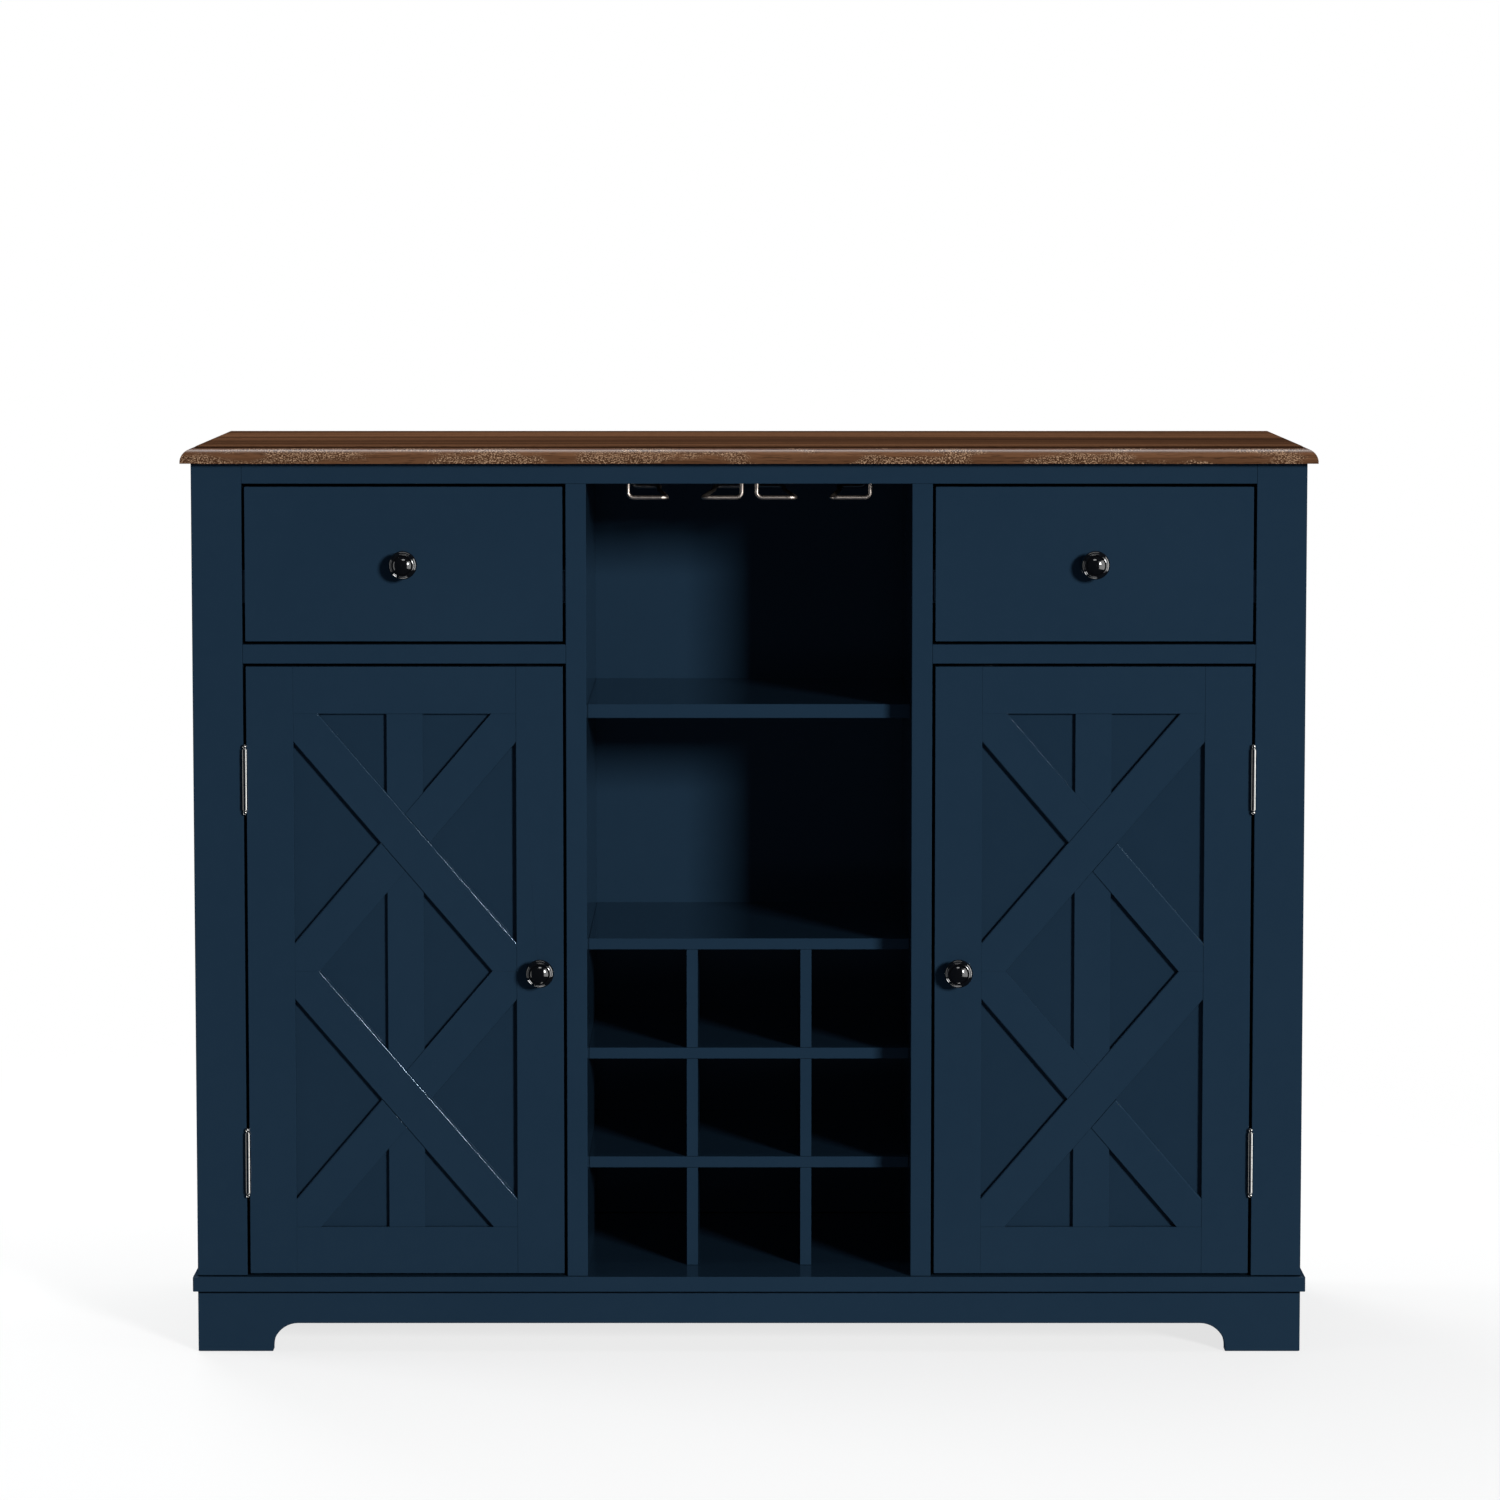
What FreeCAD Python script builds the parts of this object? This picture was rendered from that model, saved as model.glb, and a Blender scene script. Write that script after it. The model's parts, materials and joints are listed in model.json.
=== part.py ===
import FreeCAD
import Part
import math
import os

# A farmhouse wine cabinet: a painted carcass under a moulded wooden top, with a drawer over a
# barn-style door on each side, and an open bay between them for glasses, a shelf and a bottle rack.
# Millimetres. +X is to the viewer's right, +Y to the back, +Z up, and the floor is z = 0.
# The origin is midway between the front of the knobs and the back edge of the cabinet.

Vec = FreeCAD.Vector

# Overall size
TOP_WIDTH = 1200.0
TOP_DEPTH = 400.0
TOTAL_HEIGHT = 970.0
TOP_THICKNESS = 18.0
TOP_FRONT_OVERHANG = 15.0
TOP_SIDE_OVERHANG = 10.0
KNOB_PROJECTION = 27.0

# Boards of the carcass
SIDE_THICKNESS = 16.0
PARTITION_THICKNESS = 21.8
DECK_THICKNESS = 16.0
DECK_LIP = 5.0
BACK_THICKNESS = 4.0
BACK_INSET = 20.0
GROOVE_DEPTH = 6.0
GROOVE_PLAY = 0.2
REAR_RAIL_DEPTH = 45.0
REAR_RAIL_THICKNESS = 16.0

# Face frame
OUTER_STILE_WIDTH = 53.2
FRAME_THICKNESS = 20.0
TOP_RAIL_HEIGHT = 21.8
DRAWER_DECK_THICKNESS = 20.4
DRAWER_DECK_BOTTOM = 739.4
REVEAL = 3.2

# Base with bracket feet
BASE_HEIGHT = 65.5
SKIRT_THICKNESS = 18.0
FOOT_WIDTH = 80.0
FOOT_HEEL = 3.3
FOOT_CURVE = 27.0

# Moulded edge of the top, from the flat outwards: a step, a gentle slope, a round and a land
EDGE_STEP_INSET = 15.5
EDGE_STEP_DROP = 1.7
EDGE_SHOULDER_INSET = 8.1
EDGE_SHOULDER_DROP = 3.5
EDGE_BELLY_INSET = 2.4
EDGE_BELLY_DROP = 8.5
EDGE_LAND = 2.6

# Open centre bay
CENTRE_HALF_WIDTH = 172.5
CENTRE_SHELF_TOP = 692.2
CENTRE_SHELF_THICKNESS = 15.0
CENTRE_SHELF_SETBACK = 45.0
RACK_BOARD = 12.0
RACK_SETBACK = 60.0
RACK_CELL_HEIGHT = 106.7
RACK_CENTRE_CELL = 110.4
RACK_SLOT_PLAY = 0.2

# Cupboard shelves on pins
CUPBOARD_SHELF_TOP = 410.0
CUPBOARD_SHELF_THICKNESS = 15.0
CUPBOARD_SHELF_SETBACK = 45.0
SHELF_END_PLAY = 1.0
PIN_RADIUS = 2.5
PIN_LENGTH = 16.0
PIN_BURIED = 8.0
PIN_END_DISTANCE = 50.0

# Doors
DOOR_THICKNESS = 18.0
DOOR_MEMBER = 50.0
DOOR_PANEL_THICKNESS = 5.0
DOOR_PANEL_RECESS = 8.0
DOOR_TONGUE = 8.0
BRACE_WIDTH = 40.0
BRACE_RECESS = 0.5
MULLION_WIDTH = 38.5
MULLION_RECESS = 2.0

# Drawers
DRAWER_FRONT_THICKNESS = 18.0
DRAWER_WALL = 12.0
DRAWER_SIDE_HEIGHT = 120.0
DRAWER_SIDE_LENGTH = 325.0
DRAWER_BOX_RISE = 7.0
DRAWER_BOTTOM_THICKNESS = 4.0
DRAWER_BOTTOM_RISE = 10.0
DRAWER_GROOVE = 5.0

# Telescopic drawer slides: three nested steel channels
SLIDE_WIDTH = 12.7
SLIDE_LENGTH = 300.0
SLIDE_RISE = 57.0
SLIDE_START = 22.0
BATTEN_HEIGHT = 50.0
CABINET_CHANNEL = {"near": 0.0, "far": 10.0, "half": 17.5, "lip": 13.8, "sheet": 1.2}
MIDDLE_CHANNEL = {"near": 2.2, "far": 7.8, "half": 15.4, "lip": 11.0, "sheet": 1.0}
DRAWER_HAT = {"near": 4.4, "half": 9.8, "foot": 13.2, "sheet": 1.2}

# Butt hinges in the reveal, with the barrel in front of the face
HINGE_LENGTH = 65.0
HINGE_END_DISTANCE = 120.0
HINGE_LEAF = 1.45
HINGE_LEAF_DEPTH = 16.0
HINGE_AXIS_PROUD = 3.25
BARREL_RADIUS = 3.0
HINGE_PIN_RADIUS = 1.5
HINGE_PIN_PLAY = 0.05
KNUCKLES = 5
KNUCKLE_PLAY = 0.2
LEAF_CLEARANCE = 0.3
FINIAL_RADIUS = 2.5
FINIAL_NECK_RADIUS = 1.7
FINIAL_NECK = 1.3
FINIAL_RISE = 1.5

# Screws and their places
HINGE_SCREW_RADIUS = 1.6
HINGE_SCREW_HEAD = 3.0
HINGE_SCREW_LENGTH = 14.0
HINGE_SCREW_SPACING = 44.0
KNOB_SCREW_RADIUS = 2.0
KNOB_SCREW_HEAD = 4.0
KNOB_SCREW_HEAD_HEIGHT = 2.4
KNOB_SCREW_DEPTH = 10.0

# Knobs, with heights measured out from the board
KNOB_RADIUS = 15.1
KNOB_FOOT_RADIUS = 8.0
KNOB_FOOT_HEIGHT = 2.0
KNOB_NECK_RADIUS = 5.5
KNOB_THROAT_RADIUS = 7.0
KNOB_THROAT_HEIGHT = 12.0
KNOB_UNDERSIDE_RADIUS = 11.8
KNOB_UNDERSIDE_HEIGHT = 14.5
KNOB_RIM_HEIGHT = 17.5
KNOB_RIM_ROUND_RADIUS = 14.4
KNOB_RIM_ROUND_HEIGHT = 19.6
KNOB_RIM_FRONT_RADIUS = 13.0
KNOB_RIM_FRONT_HEIGHT = 20.9
KNOB_STEP_RADIUS = 12.7
KNOB_STEP_HEIGHT = 20.2
KNOB_RING_RADIUS = 11.8
KNOB_RING_HEIGHT = 23.4
KNOB_RING_END_RADIUS = 10.0
KNOB_RING_END_HEIGHT = 23.7
KNOB_GROOVE_RADIUS = 9.7
KNOB_GROOVE_HEIGHT = 22.9
KNOB_DOME_RADIUS = 9.4
KNOB_DOME_HEIGHT = 24.2

# Magnetic catches
CATCH_LENGTH = 46.0
CATCH_HEIGHT = 14.0
CATCH_DEPTH = 14.0
POLE_THICKNESS = 1.5
POLE_PROUD = 1.0
POLE_LENGTH = 40.0
STRIKE_LENGTH = 42.0
STRIKE_HEIGHT = 14.0
STRIKE_THICKNESS = 1.4
CATCH_AIR = 0.4

# Stemware racks: a pair of bent wires for each row of glasses
WIRE_RADIUS = 2.3
STEM_ROW_OFFSET = 68.75
WIRE_HALF_SPREAD = 60.7
WIRE_NECK_HALF = 19.0
WIRE_RUN_HALF = 30.5
WIRE_DROP = 39.6
WIRE_SETBACK = 60.0
WIRE_FLARE_LENGTH = 160.0
WIRE_LENGTH = 232.0
WIRE_BEND = 6.0
TAB_LENGTH = 24.0
TAB_WIDTH = 12.0
TAB_THICKNESS = 1.6
TAB_SCREW_RADIUS = 2.0
TAB_SCREW_HEAD = 3.8
TAB_SCREW_HEAD_HEIGHT = 1.8
TAB_SCREW_LENGTH = 12.0

# Places worked out from the sizes above
BODY_WIDTH = TOP_WIDTH - 2 * TOP_SIDE_OVERHANG
BODY_HALF = BODY_WIDTH / 2
BODY_DEPTH = TOP_DEPTH - TOP_FRONT_OVERHANG
FACE_Y = KNOB_PROJECTION - (BODY_DEPTH + KNOB_PROJECTION) / 2
BACK_Y = FACE_Y + BODY_DEPTH
DECK_TOP = BASE_HEIGHT + DECK_THICKNESS
CARCASS_TOP = TOTAL_HEIGHT - TOP_THICKNESS
TOP_RAIL_BOTTOM = CARCASS_TOP - TOP_RAIL_HEIGHT
FRAME_BACK_Y = FACE_Y + FRAME_THICKNESS
BACK_PANEL_Y = BACK_Y - BACK_INSET - BACK_THICKNESS
SIDE_INNER_X = -BODY_HALF + SIDE_THICKNESS
STILE_INNER_X = -BODY_HALF + OUTER_STILE_WIDTH
PARTITION_OUTER_X = -CENTRE_HALF_WIDTH - PARTITION_THICKNESS
DRAWER_DECK_TOP = DRAWER_DECK_BOTTOM + DRAWER_DECK_THICKNESS

FRONT_X0 = STILE_INNER_X + REVEAL
FRONT_X1 = PARTITION_OUTER_X - REVEAL
DOOR_Z0 = DECK_TOP + REVEAL
DOOR_Z1 = DRAWER_DECK_BOTTOM - REVEAL
DRAWER_Z0 = DRAWER_DECK_TOP + REVEAL
DRAWER_Z1 = TOP_RAIL_BOTTOM - REVEAL
DOOR_BACK_Y = FACE_Y + DOOR_THICKNESS
HINGE_X = STILE_INNER_X + REVEAL / 2
HINGE_Y = FACE_Y - HINGE_AXIS_PROUD
HINGE_MIDDLES = (DOOR_Z0 + HINGE_END_DISTANCE, DOOR_Z1 - HINGE_END_DISTANCE)
DOOR_KNOB = Vec(FRONT_X1 - DOOR_MEMBER / 2, FACE_Y, (DOOR_Z0 + DOOR_Z1) / 2)
DRAWER_KNOB = Vec((FRONT_X0 + FRONT_X1) / 2, FACE_Y, (DRAWER_Z0 + DRAWER_Z1) / 2)

BOX_X0 = STILE_INNER_X + SLIDE_WIDTH
BOX_X1 = PARTITION_OUTER_X - SLIDE_WIDTH
BOX_Y0 = FACE_Y + DRAWER_FRONT_THICKNESS
BOX_Y1 = BOX_Y0 + DRAWER_SIDE_LENGTH
BOX_Z0 = DRAWER_Z0 + DRAWER_BOX_RISE
BOX_BOTTOM_Z = BOX_Z0 + DRAWER_BOTTOM_RISE
SLIDE_Z = DRAWER_Z0 + SLIDE_RISE
SLIDE_Y0 = FACE_Y + SLIDE_START
SLIDE_Y1 = SLIDE_Y0 + SLIDE_LENGTH

RACK_Y0 = FACE_Y + RACK_SETBACK
RACK_SLAT_X = (RACK_CENTRE_CELL + RACK_BOARD) / 2
RACK_PITCH = RACK_CELL_HEIGHT + RACK_BOARD
RACK_TOP_UNDERSIDE = DECK_TOP + 3 * RACK_CELL_HEIGHT + 2 * RACK_BOARD


# General helpers

def box(x0, x1, y0, y1, z0, z1):
    """A board between two corners."""
    return Part.makeBox(x1 - x0, y1 - y0, z1 - z0, Vec(x0, y0, z0))


def prism(corners, travel):
    """A flat outline, given by its corners, pushed along a vector."""
    outline = Part.makePolygon(list(corners) + [corners[0]])
    return Part.Face(outline).extrude(travel)


def mirrored(solid):
    """The same piece on the other side of the cabinet."""
    return solid.mirror(Vec(0, 0, 0), Vec(1, 0, 0))


def line(start, end):
    return Part.LineSegment(start, end).toShape()


def arc(start, middle, end):
    return Part.Arc(start, middle, end).toShape()


def rod(radius, start, end):
    """A round bar between two points."""
    along = end - start
    return Part.makeCylinder(radius, along.Length, start, along)


def turned(outline, place, along):
    """A turned piece: the outline's corners are (radius, distance) about an axis that starts at place."""
    across = along.cross(Vec(0, 1, 0)) if along.y == 0 else Vec(1, 0, 0)
    corners = [place + across * radius + along * distance for radius, distance in outline]
    section = Part.Face(Part.makePolygon(corners + [corners[0]]))
    return section.revolve(place, along, 360)


def cut_all(solid, tools):
    for tool in tools:
        solid = solid.cut(tool)
    return solid


# Top

def edge_profile(point, outward):
    """Edges of the moulded rim, from the flat of the top down to its underside.

    point(inset, drop) gives the place that far in from the rim and that far below the flat.
    """
    flat = point(EDGE_STEP_INSET, 0.0)
    step = point(EDGE_STEP_INSET, EDGE_STEP_DROP)
    shoulder = point(EDGE_SHOULDER_INSET, EDGE_SHOULDER_DROP)
    belly = point(EDGE_BELLY_INSET, EDGE_BELLY_DROP)
    land = point(0.0, TOP_THICKNESS - EDGE_LAND)
    underside = point(0.0, TOP_THICKNESS)
    edges = [line(flat, step), line(step, shoulder), arc(shoulder, belly, land), line(land, underside)]
    return edges if outward else edges[::-1]


def make_top():
    """The top: a front-to-back section and a side-to-side section, crossed so the corners mitre."""
    front_y = FACE_Y - TOP_FRONT_OVERHANG
    half = TOP_WIDTH / 2

    def front_point(inset, drop):
        return Vec(-half, front_y + inset, TOTAL_HEIGHT - drop)

    back_top = Vec(-half, BACK_Y, TOTAL_HEIGHT)
    back_bottom = Vec(-half, BACK_Y, CARCASS_TOP)
    section = [line(back_top, front_point(EDGE_STEP_INSET, 0.0))]
    section += edge_profile(front_point, True)
    section += [line(front_point(0.0, TOP_THICKNESS), back_bottom), line(back_bottom, back_top)]
    long_bar = Part.Face(Part.Wire(section)).extrude(Vec(TOP_WIDTH, 0, 0))

    def left_point(inset, drop):
        return Vec(inset - half, front_y, TOTAL_HEIGHT - drop)

    def right_point(inset, drop):
        return Vec(half - inset, front_y, TOTAL_HEIGHT - drop)

    section = [line(left_point(EDGE_STEP_INSET, 0.0), right_point(EDGE_STEP_INSET, 0.0))]
    section += edge_profile(right_point, True)
    section += [line(right_point(0.0, TOP_THICKNESS), left_point(0.0, TOP_THICKNESS))]
    section += edge_profile(left_point, False)
    cross_bar = Part.Face(Part.Wire(section)).extrude(Vec(0, TOP_DEPTH, 0))
    return long_bar.common(cross_bar)


# Carcass boards

def back_groove(x0, x1):
    """The slot that an edge of a back panel slides down into."""
    return box(x0, x1, BACK_PANEL_Y - GROOVE_PLAY / 2,
               BACK_PANEL_Y + BACK_THICKNESS + GROOVE_PLAY / 2, DECK_TOP, CARCASS_TOP)


def make_side_panel():
    board = box(-BODY_HALF, SIDE_INNER_X, FRAME_BACK_Y, BACK_Y, DECK_TOP, CARCASS_TOP)
    return board.cut(back_groove(SIDE_INNER_X - GROOVE_DEPTH, SIDE_INNER_X))


def make_partition():
    """A full-height divider, notched at the top of its front edge for the top rail."""
    corners = [
        Vec(PARTITION_OUTER_X, FACE_Y, DECK_TOP),
        Vec(PARTITION_OUTER_X, BACK_Y, DECK_TOP),
        Vec(PARTITION_OUTER_X, BACK_Y, CARCASS_TOP),
        Vec(PARTITION_OUTER_X, FRAME_BACK_Y, CARCASS_TOP),
        Vec(PARTITION_OUTER_X, FRAME_BACK_Y, TOP_RAIL_BOTTOM),
        Vec(PARTITION_OUTER_X, FACE_Y, TOP_RAIL_BOTTOM),
    ]
    board = prism(corners, Vec(PARTITION_THICKNESS, 0, 0))
    inner_x = -CENTRE_HALF_WIDTH
    grooves = [
        back_groove(PARTITION_OUTER_X, PARTITION_OUTER_X + GROOVE_DEPTH),
        back_groove(inner_x - GROOVE_DEPTH, inner_x),
    ]
    return cut_all(board, grooves)


def make_back_panel(x0, x1):
    """A thin panel that reaches into the grooves on both sides of a bay."""
    reach = GROOVE_DEPTH - GROOVE_PLAY
    return box(x0 - reach, x1 + reach, BACK_PANEL_Y, BACK_PANEL_Y + BACK_THICKNESS,
               DECK_TOP, CARCASS_TOP)


def make_rear_top_rails():
    """Flat rails under the back of the top, one in each bay."""
    bays = [
        (SIDE_INNER_X, PARTITION_OUTER_X),
        (-CENTRE_HALF_WIDTH, CENTRE_HALF_WIDTH),
        (-PARTITION_OUTER_X, -SIDE_INNER_X),
    ]
    return [
        box(x0, x1, BACK_PANEL_Y - REAR_RAIL_DEPTH, BACK_PANEL_Y,
            CARCASS_TOP - REAR_RAIL_THICKNESS, CARCASS_TOP)
        for x0, x1 in bays
    ]


def make_drawer_deck():
    """The board between drawer and cupboard, cut round the outer stile at its front corner."""
    corners = [
        Vec(STILE_INNER_X, FACE_Y, DRAWER_DECK_BOTTOM),
        Vec(PARTITION_OUTER_X, FACE_Y, DRAWER_DECK_BOTTOM),
        Vec(PARTITION_OUTER_X, BACK_PANEL_Y, DRAWER_DECK_BOTTOM),
        Vec(SIDE_INNER_X, BACK_PANEL_Y, DRAWER_DECK_BOTTOM),
        Vec(SIDE_INNER_X, FRAME_BACK_Y, DRAWER_DECK_BOTTOM),
        Vec(STILE_INNER_X, FRAME_BACK_Y, DRAWER_DECK_BOTTOM),
    ]
    return prism(corners, Vec(0, 0, DRAWER_DECK_THICKNESS))


def make_runner_batten():
    """The block that brings the outer drawer slide level with the stile."""
    half = BATTEN_HEIGHT / 2
    return box(SIDE_INNER_X, STILE_INNER_X, FRAME_BACK_Y, SLIDE_Y1, SLIDE_Z - half, SLIDE_Z + half)


# Base

def bracket_outline(place, start, end):
    """Edges of a skirt board with a bracket foot at each end.

    place(along, height) turns a place on the board into a point.
    """
    rise = FOOT_HEEL + FOOT_CURVE
    half_turn = FOOT_CURVE * math.sqrt(0.5)
    near_foot, far_foot = start + FOOT_WIDTH, end - FOOT_WIDTH
    near_centre, far_centre = near_foot + FOOT_CURVE, far_foot - FOOT_CURVE
    near_middle = place(near_centre - half_turn, FOOT_HEEL + half_turn)
    far_middle = place(far_centre + half_turn, FOOT_HEEL + half_turn)
    return [
        line(place(start, 0), place(near_foot, 0)),
        line(place(near_foot, 0), place(near_foot, FOOT_HEEL)),
        arc(place(near_foot, FOOT_HEEL), near_middle, place(near_centre, rise)),
        line(place(near_centre, rise), place(far_centre, rise)),
        arc(place(far_centre, rise), far_middle, place(far_foot, FOOT_HEEL)),
        line(place(far_foot, FOOT_HEEL), place(far_foot, 0)),
        line(place(far_foot, 0), place(end, 0)),
        line(place(end, 0), place(end, BASE_HEIGHT)),
        line(place(end, BASE_HEIGHT), place(start, BASE_HEIGHT)),
        line(place(start, BASE_HEIGHT), place(start, 0)),
    ]


def make_front_skirt():
    edges = bracket_outline(lambda along, height: Vec(along, FACE_Y, height), -BODY_HALF, BODY_HALF)
    board = Part.Face(Part.Wire(edges)).extrude(Vec(0, SKIRT_THICKNESS, 0))
    inner_half, inner_y = BODY_HALF - SKIRT_THICKNESS, FACE_Y + SKIRT_THICKNESS
    mitred = prism(
        [Vec(-BODY_HALF, FACE_Y, 0), Vec(BODY_HALF, FACE_Y, 0),
         Vec(inner_half, inner_y, 0), Vec(-inner_half, inner_y, 0)],
        Vec(0, 0, BASE_HEIGHT))
    return board.common(mitred)


def make_side_skirt():
    edges = bracket_outline(lambda along, height: Vec(-BODY_HALF, along, height), FACE_Y, BACK_Y)
    board = Part.Face(Part.Wire(edges)).extrude(Vec(SKIRT_THICKNESS, 0, 0))
    inner_x, inner_y = SKIRT_THICKNESS - BODY_HALF, FACE_Y + SKIRT_THICKNESS
    mitred = prism(
        [Vec(-BODY_HALF, FACE_Y, 0), Vec(inner_x, inner_y, 0),
         Vec(inner_x, BACK_Y, 0), Vec(-BODY_HALF, BACK_Y, 0)],
        Vec(0, 0, BASE_HEIGHT))
    return board.common(mitred)


def make_base_rails():
    """A rear rail between the side skirts, and a cross rail under the middle of the deck."""
    low = FOOT_HEEL + FOOT_CURVE
    inner_half = BODY_HALF - SKIRT_THICKNESS
    rear_y = BACK_Y - SKIRT_THICKNESS
    half = SKIRT_THICKNESS / 2
    return [
        box(-inner_half, inner_half, rear_y, BACK_Y, low, BASE_HEIGHT),
        box(-half, half, FACE_Y + SKIRT_THICKNESS, rear_y, low, BASE_HEIGHT),
    ]


# Centre bay

def make_rack_shelves():
    """Two bottle shelves, slotted from the back to their middle for the upright slats."""
    middle_y = (RACK_Y0 + BACK_PANEL_Y) / 2
    half_slot = (RACK_BOARD + RACK_SLOT_PLAY) / 2
    shelves = []
    for row in (1, 2):
        low = DECK_TOP + row * RACK_PITCH - RACK_BOARD
        shelf = box(-CENTRE_HALF_WIDTH, CENTRE_HALF_WIDTH, RACK_Y0, BACK_PANEL_Y, low, low + RACK_BOARD)
        slots = [
            box(x - half_slot, x + half_slot, middle_y, BACK_PANEL_Y, low, low + RACK_BOARD)
            for x in (-RACK_SLAT_X, RACK_SLAT_X)
        ]
        shelves.append(cut_all(shelf, slots))
    return shelves


def make_rack_slats():
    """Two upright slats, slotted from the front to their middle, that cross-lap with the shelves."""
    middle_y = (RACK_Y0 + BACK_PANEL_Y) / 2
    half_slot = (RACK_BOARD + RACK_SLOT_PLAY) / 2
    half = RACK_BOARD / 2
    slats = []
    for x in (-RACK_SLAT_X, RACK_SLAT_X):
        slat = box(x - half, x + half, RACK_Y0, BACK_PANEL_Y, DECK_TOP, RACK_TOP_UNDERSIDE)
        slots = []
        for row in (1, 2):
            shelf_middle = DECK_TOP + row * RACK_PITCH - half
            slots.append(box(x - half, x + half, RACK_Y0, middle_y,
                             shelf_middle - half_slot, shelf_middle + half_slot))
        slats.append(cut_all(slat, slots))
    return slats


def make_stemware_wire(turn):
    """One bent wire of a rack, on the side of its row that turn (-1 or 1) names.

    From the front tab it drops, runs in to the neck, spreads back along the row and returns to the
    rear tab. Corners are rounded by arcs of one bend radius.
    """
    row_x = -STEM_ROW_OFFSET
    front_y = FACE_Y + WIRE_SETBACK
    back_y = front_y + WIRE_LENGTH
    low = CARCASS_TOP - WIRE_DROP
    high = CARCASS_TOP - TAB_THICKNESS
    outer_x = row_x + turn * WIRE_HALF_SPREAD
    neck_x = row_x + turn * WIRE_NECK_HALF
    run_x = row_x + turn * WIRE_RUN_HALF
    corners = [
        Vec(outer_x, front_y, high),
        Vec(outer_x, front_y, low),
        Vec(neck_x, front_y, low),
        Vec(run_x, front_y + WIRE_FLARE_LENGTH, low),
        Vec(run_x, back_y, low),
        Vec(outer_x, back_y, low),
        Vec(outer_x, back_y, high),
    ]
    path = rounded_path(corners, WIRE_BEND)
    profile = Part.Wire(Part.makeCircle(WIRE_RADIUS, corners[0], Vec(0, 0, -1)))
    wire = path.makePipeShell([profile], True, False)
    for y in (front_y, back_y):
        tab = box(outer_x - TAB_WIDTH / 2, outer_x + TAB_WIDTH / 2,
                  y - WIRE_RADIUS, y - WIRE_RADIUS + TAB_LENGTH, high, CARCASS_TOP)
        wire = wire.fuse(tab)
    screws = [make_tab_screw(place) for place in tab_screw_places()]
    return cut_all(wire.removeSplitter(), screws)


def rounded_path(corners, radius):
    """A wire through the corners, straight between them and rounded at each by an arc."""
    edges = []
    start = corners[0]
    for before, corner, after in zip(corners, corners[1:], corners[2:]):
        back = (before - corner).normalize()
        ahead = (after - corner).normalize()
        half_angle = back.getAngle(ahead) / 2
        reach = radius / math.tan(half_angle)
        to_centre = (back + ahead).normalize() * (radius / math.sin(half_angle))
        enter = corner + back * reach
        leave = corner + ahead * reach
        middle = corner + to_centre - to_centre.normalize() * radius
        edges += [line(start, enter), arc(enter, middle, leave)]
        start = leave
    edges.append(line(start, corners[-1]))
    return Part.Wire(edges)


def tab_screw_places():
    """Where the stemware tabs are screwed up into the top, on the left row."""
    front_y = FACE_Y + WIRE_SETBACK
    clear = TAB_LENGTH - WIRE_RADIUS - TAB_WIDTH / 2
    return [
        Vec(turn * WIRE_HALF_SPREAD - STEM_ROW_OFFSET, y + clear, CARCASS_TOP - TAB_THICKNESS)
        for turn in (-1, 1)
        for y in (front_y, front_y + WIRE_LENGTH)
    ]


def make_tab_screw(place):
    """A screw driven up through a tab, with a head that tapers downwards."""
    outline = [
        (0.0, -TAB_SCREW_HEAD_HEIGHT),
        (TAB_SCREW_RADIUS, -TAB_SCREW_HEAD_HEIGHT),
        (TAB_SCREW_HEAD, 0.0),
        (TAB_SCREW_RADIUS, 0.0),
        (TAB_SCREW_RADIUS, TAB_SCREW_LENGTH),
        (0.0, TAB_SCREW_LENGTH),
    ]
    return turned(outline, place, Vec(0, 0, 1))


# Cupboards

def make_cupboard_shelf():
    return box(SIDE_INNER_X + SHELF_END_PLAY, PARTITION_OUTER_X - SHELF_END_PLAY,
               FACE_Y + CUPBOARD_SHELF_SETBACK, BACK_PANEL_Y - SHELF_END_PLAY,
               CUPBOARD_SHELF_TOP - CUPBOARD_SHELF_THICKNESS, CUPBOARD_SHELF_TOP)


def make_shelf_pins():
    """Four pins pushed into the cupboard walls, just under the shelf."""
    z = CUPBOARD_SHELF_TOP - CUPBOARD_SHELF_THICKNESS - PIN_RADIUS
    places = (FACE_Y + CUPBOARD_SHELF_SETBACK + PIN_END_DISTANCE, BACK_PANEL_Y - PIN_END_DISTANCE)
    pins = []
    for y in places:
        left = Vec(SIDE_INNER_X - PIN_BURIED, y, z)
        right = Vec(PARTITION_OUTER_X + PIN_BURIED, y, z)
        pins.append(rod(PIN_RADIUS, left, left + Vec(PIN_LENGTH, 0, 0)))
        pins.append(rod(PIN_RADIUS, right, right - Vec(PIN_LENGTH, 0, 0)))
    return pins


def make_catch():
    """A magnetic catch under the drawer deck: a case with two pole plates facing the door."""
    middle_x = FRONT_X1 - CATCH_LENGTH
    front_y = DOOR_BACK_Y + STRIKE_THICKNESS + CATCH_AIR + POLE_PROUD
    top = DRAWER_DECK_BOTTOM
    case = box(middle_x - CATCH_LENGTH / 2, middle_x + CATCH_LENGTH / 2,
               front_y, front_y + CATCH_DEPTH, top - CATCH_HEIGHT, top)
    for level in (1 / 3, 2 / 3):
        z = top - level * CATCH_HEIGHT
        pole = box(middle_x - POLE_LENGTH / 2, middle_x + POLE_LENGTH / 2, front_y - POLE_PROUD,
                   front_y, z - POLE_THICKNESS / 2, z + POLE_THICKNESS / 2)
        case = case.fuse(pole)
    return case.removeSplitter()


# Doors

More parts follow.
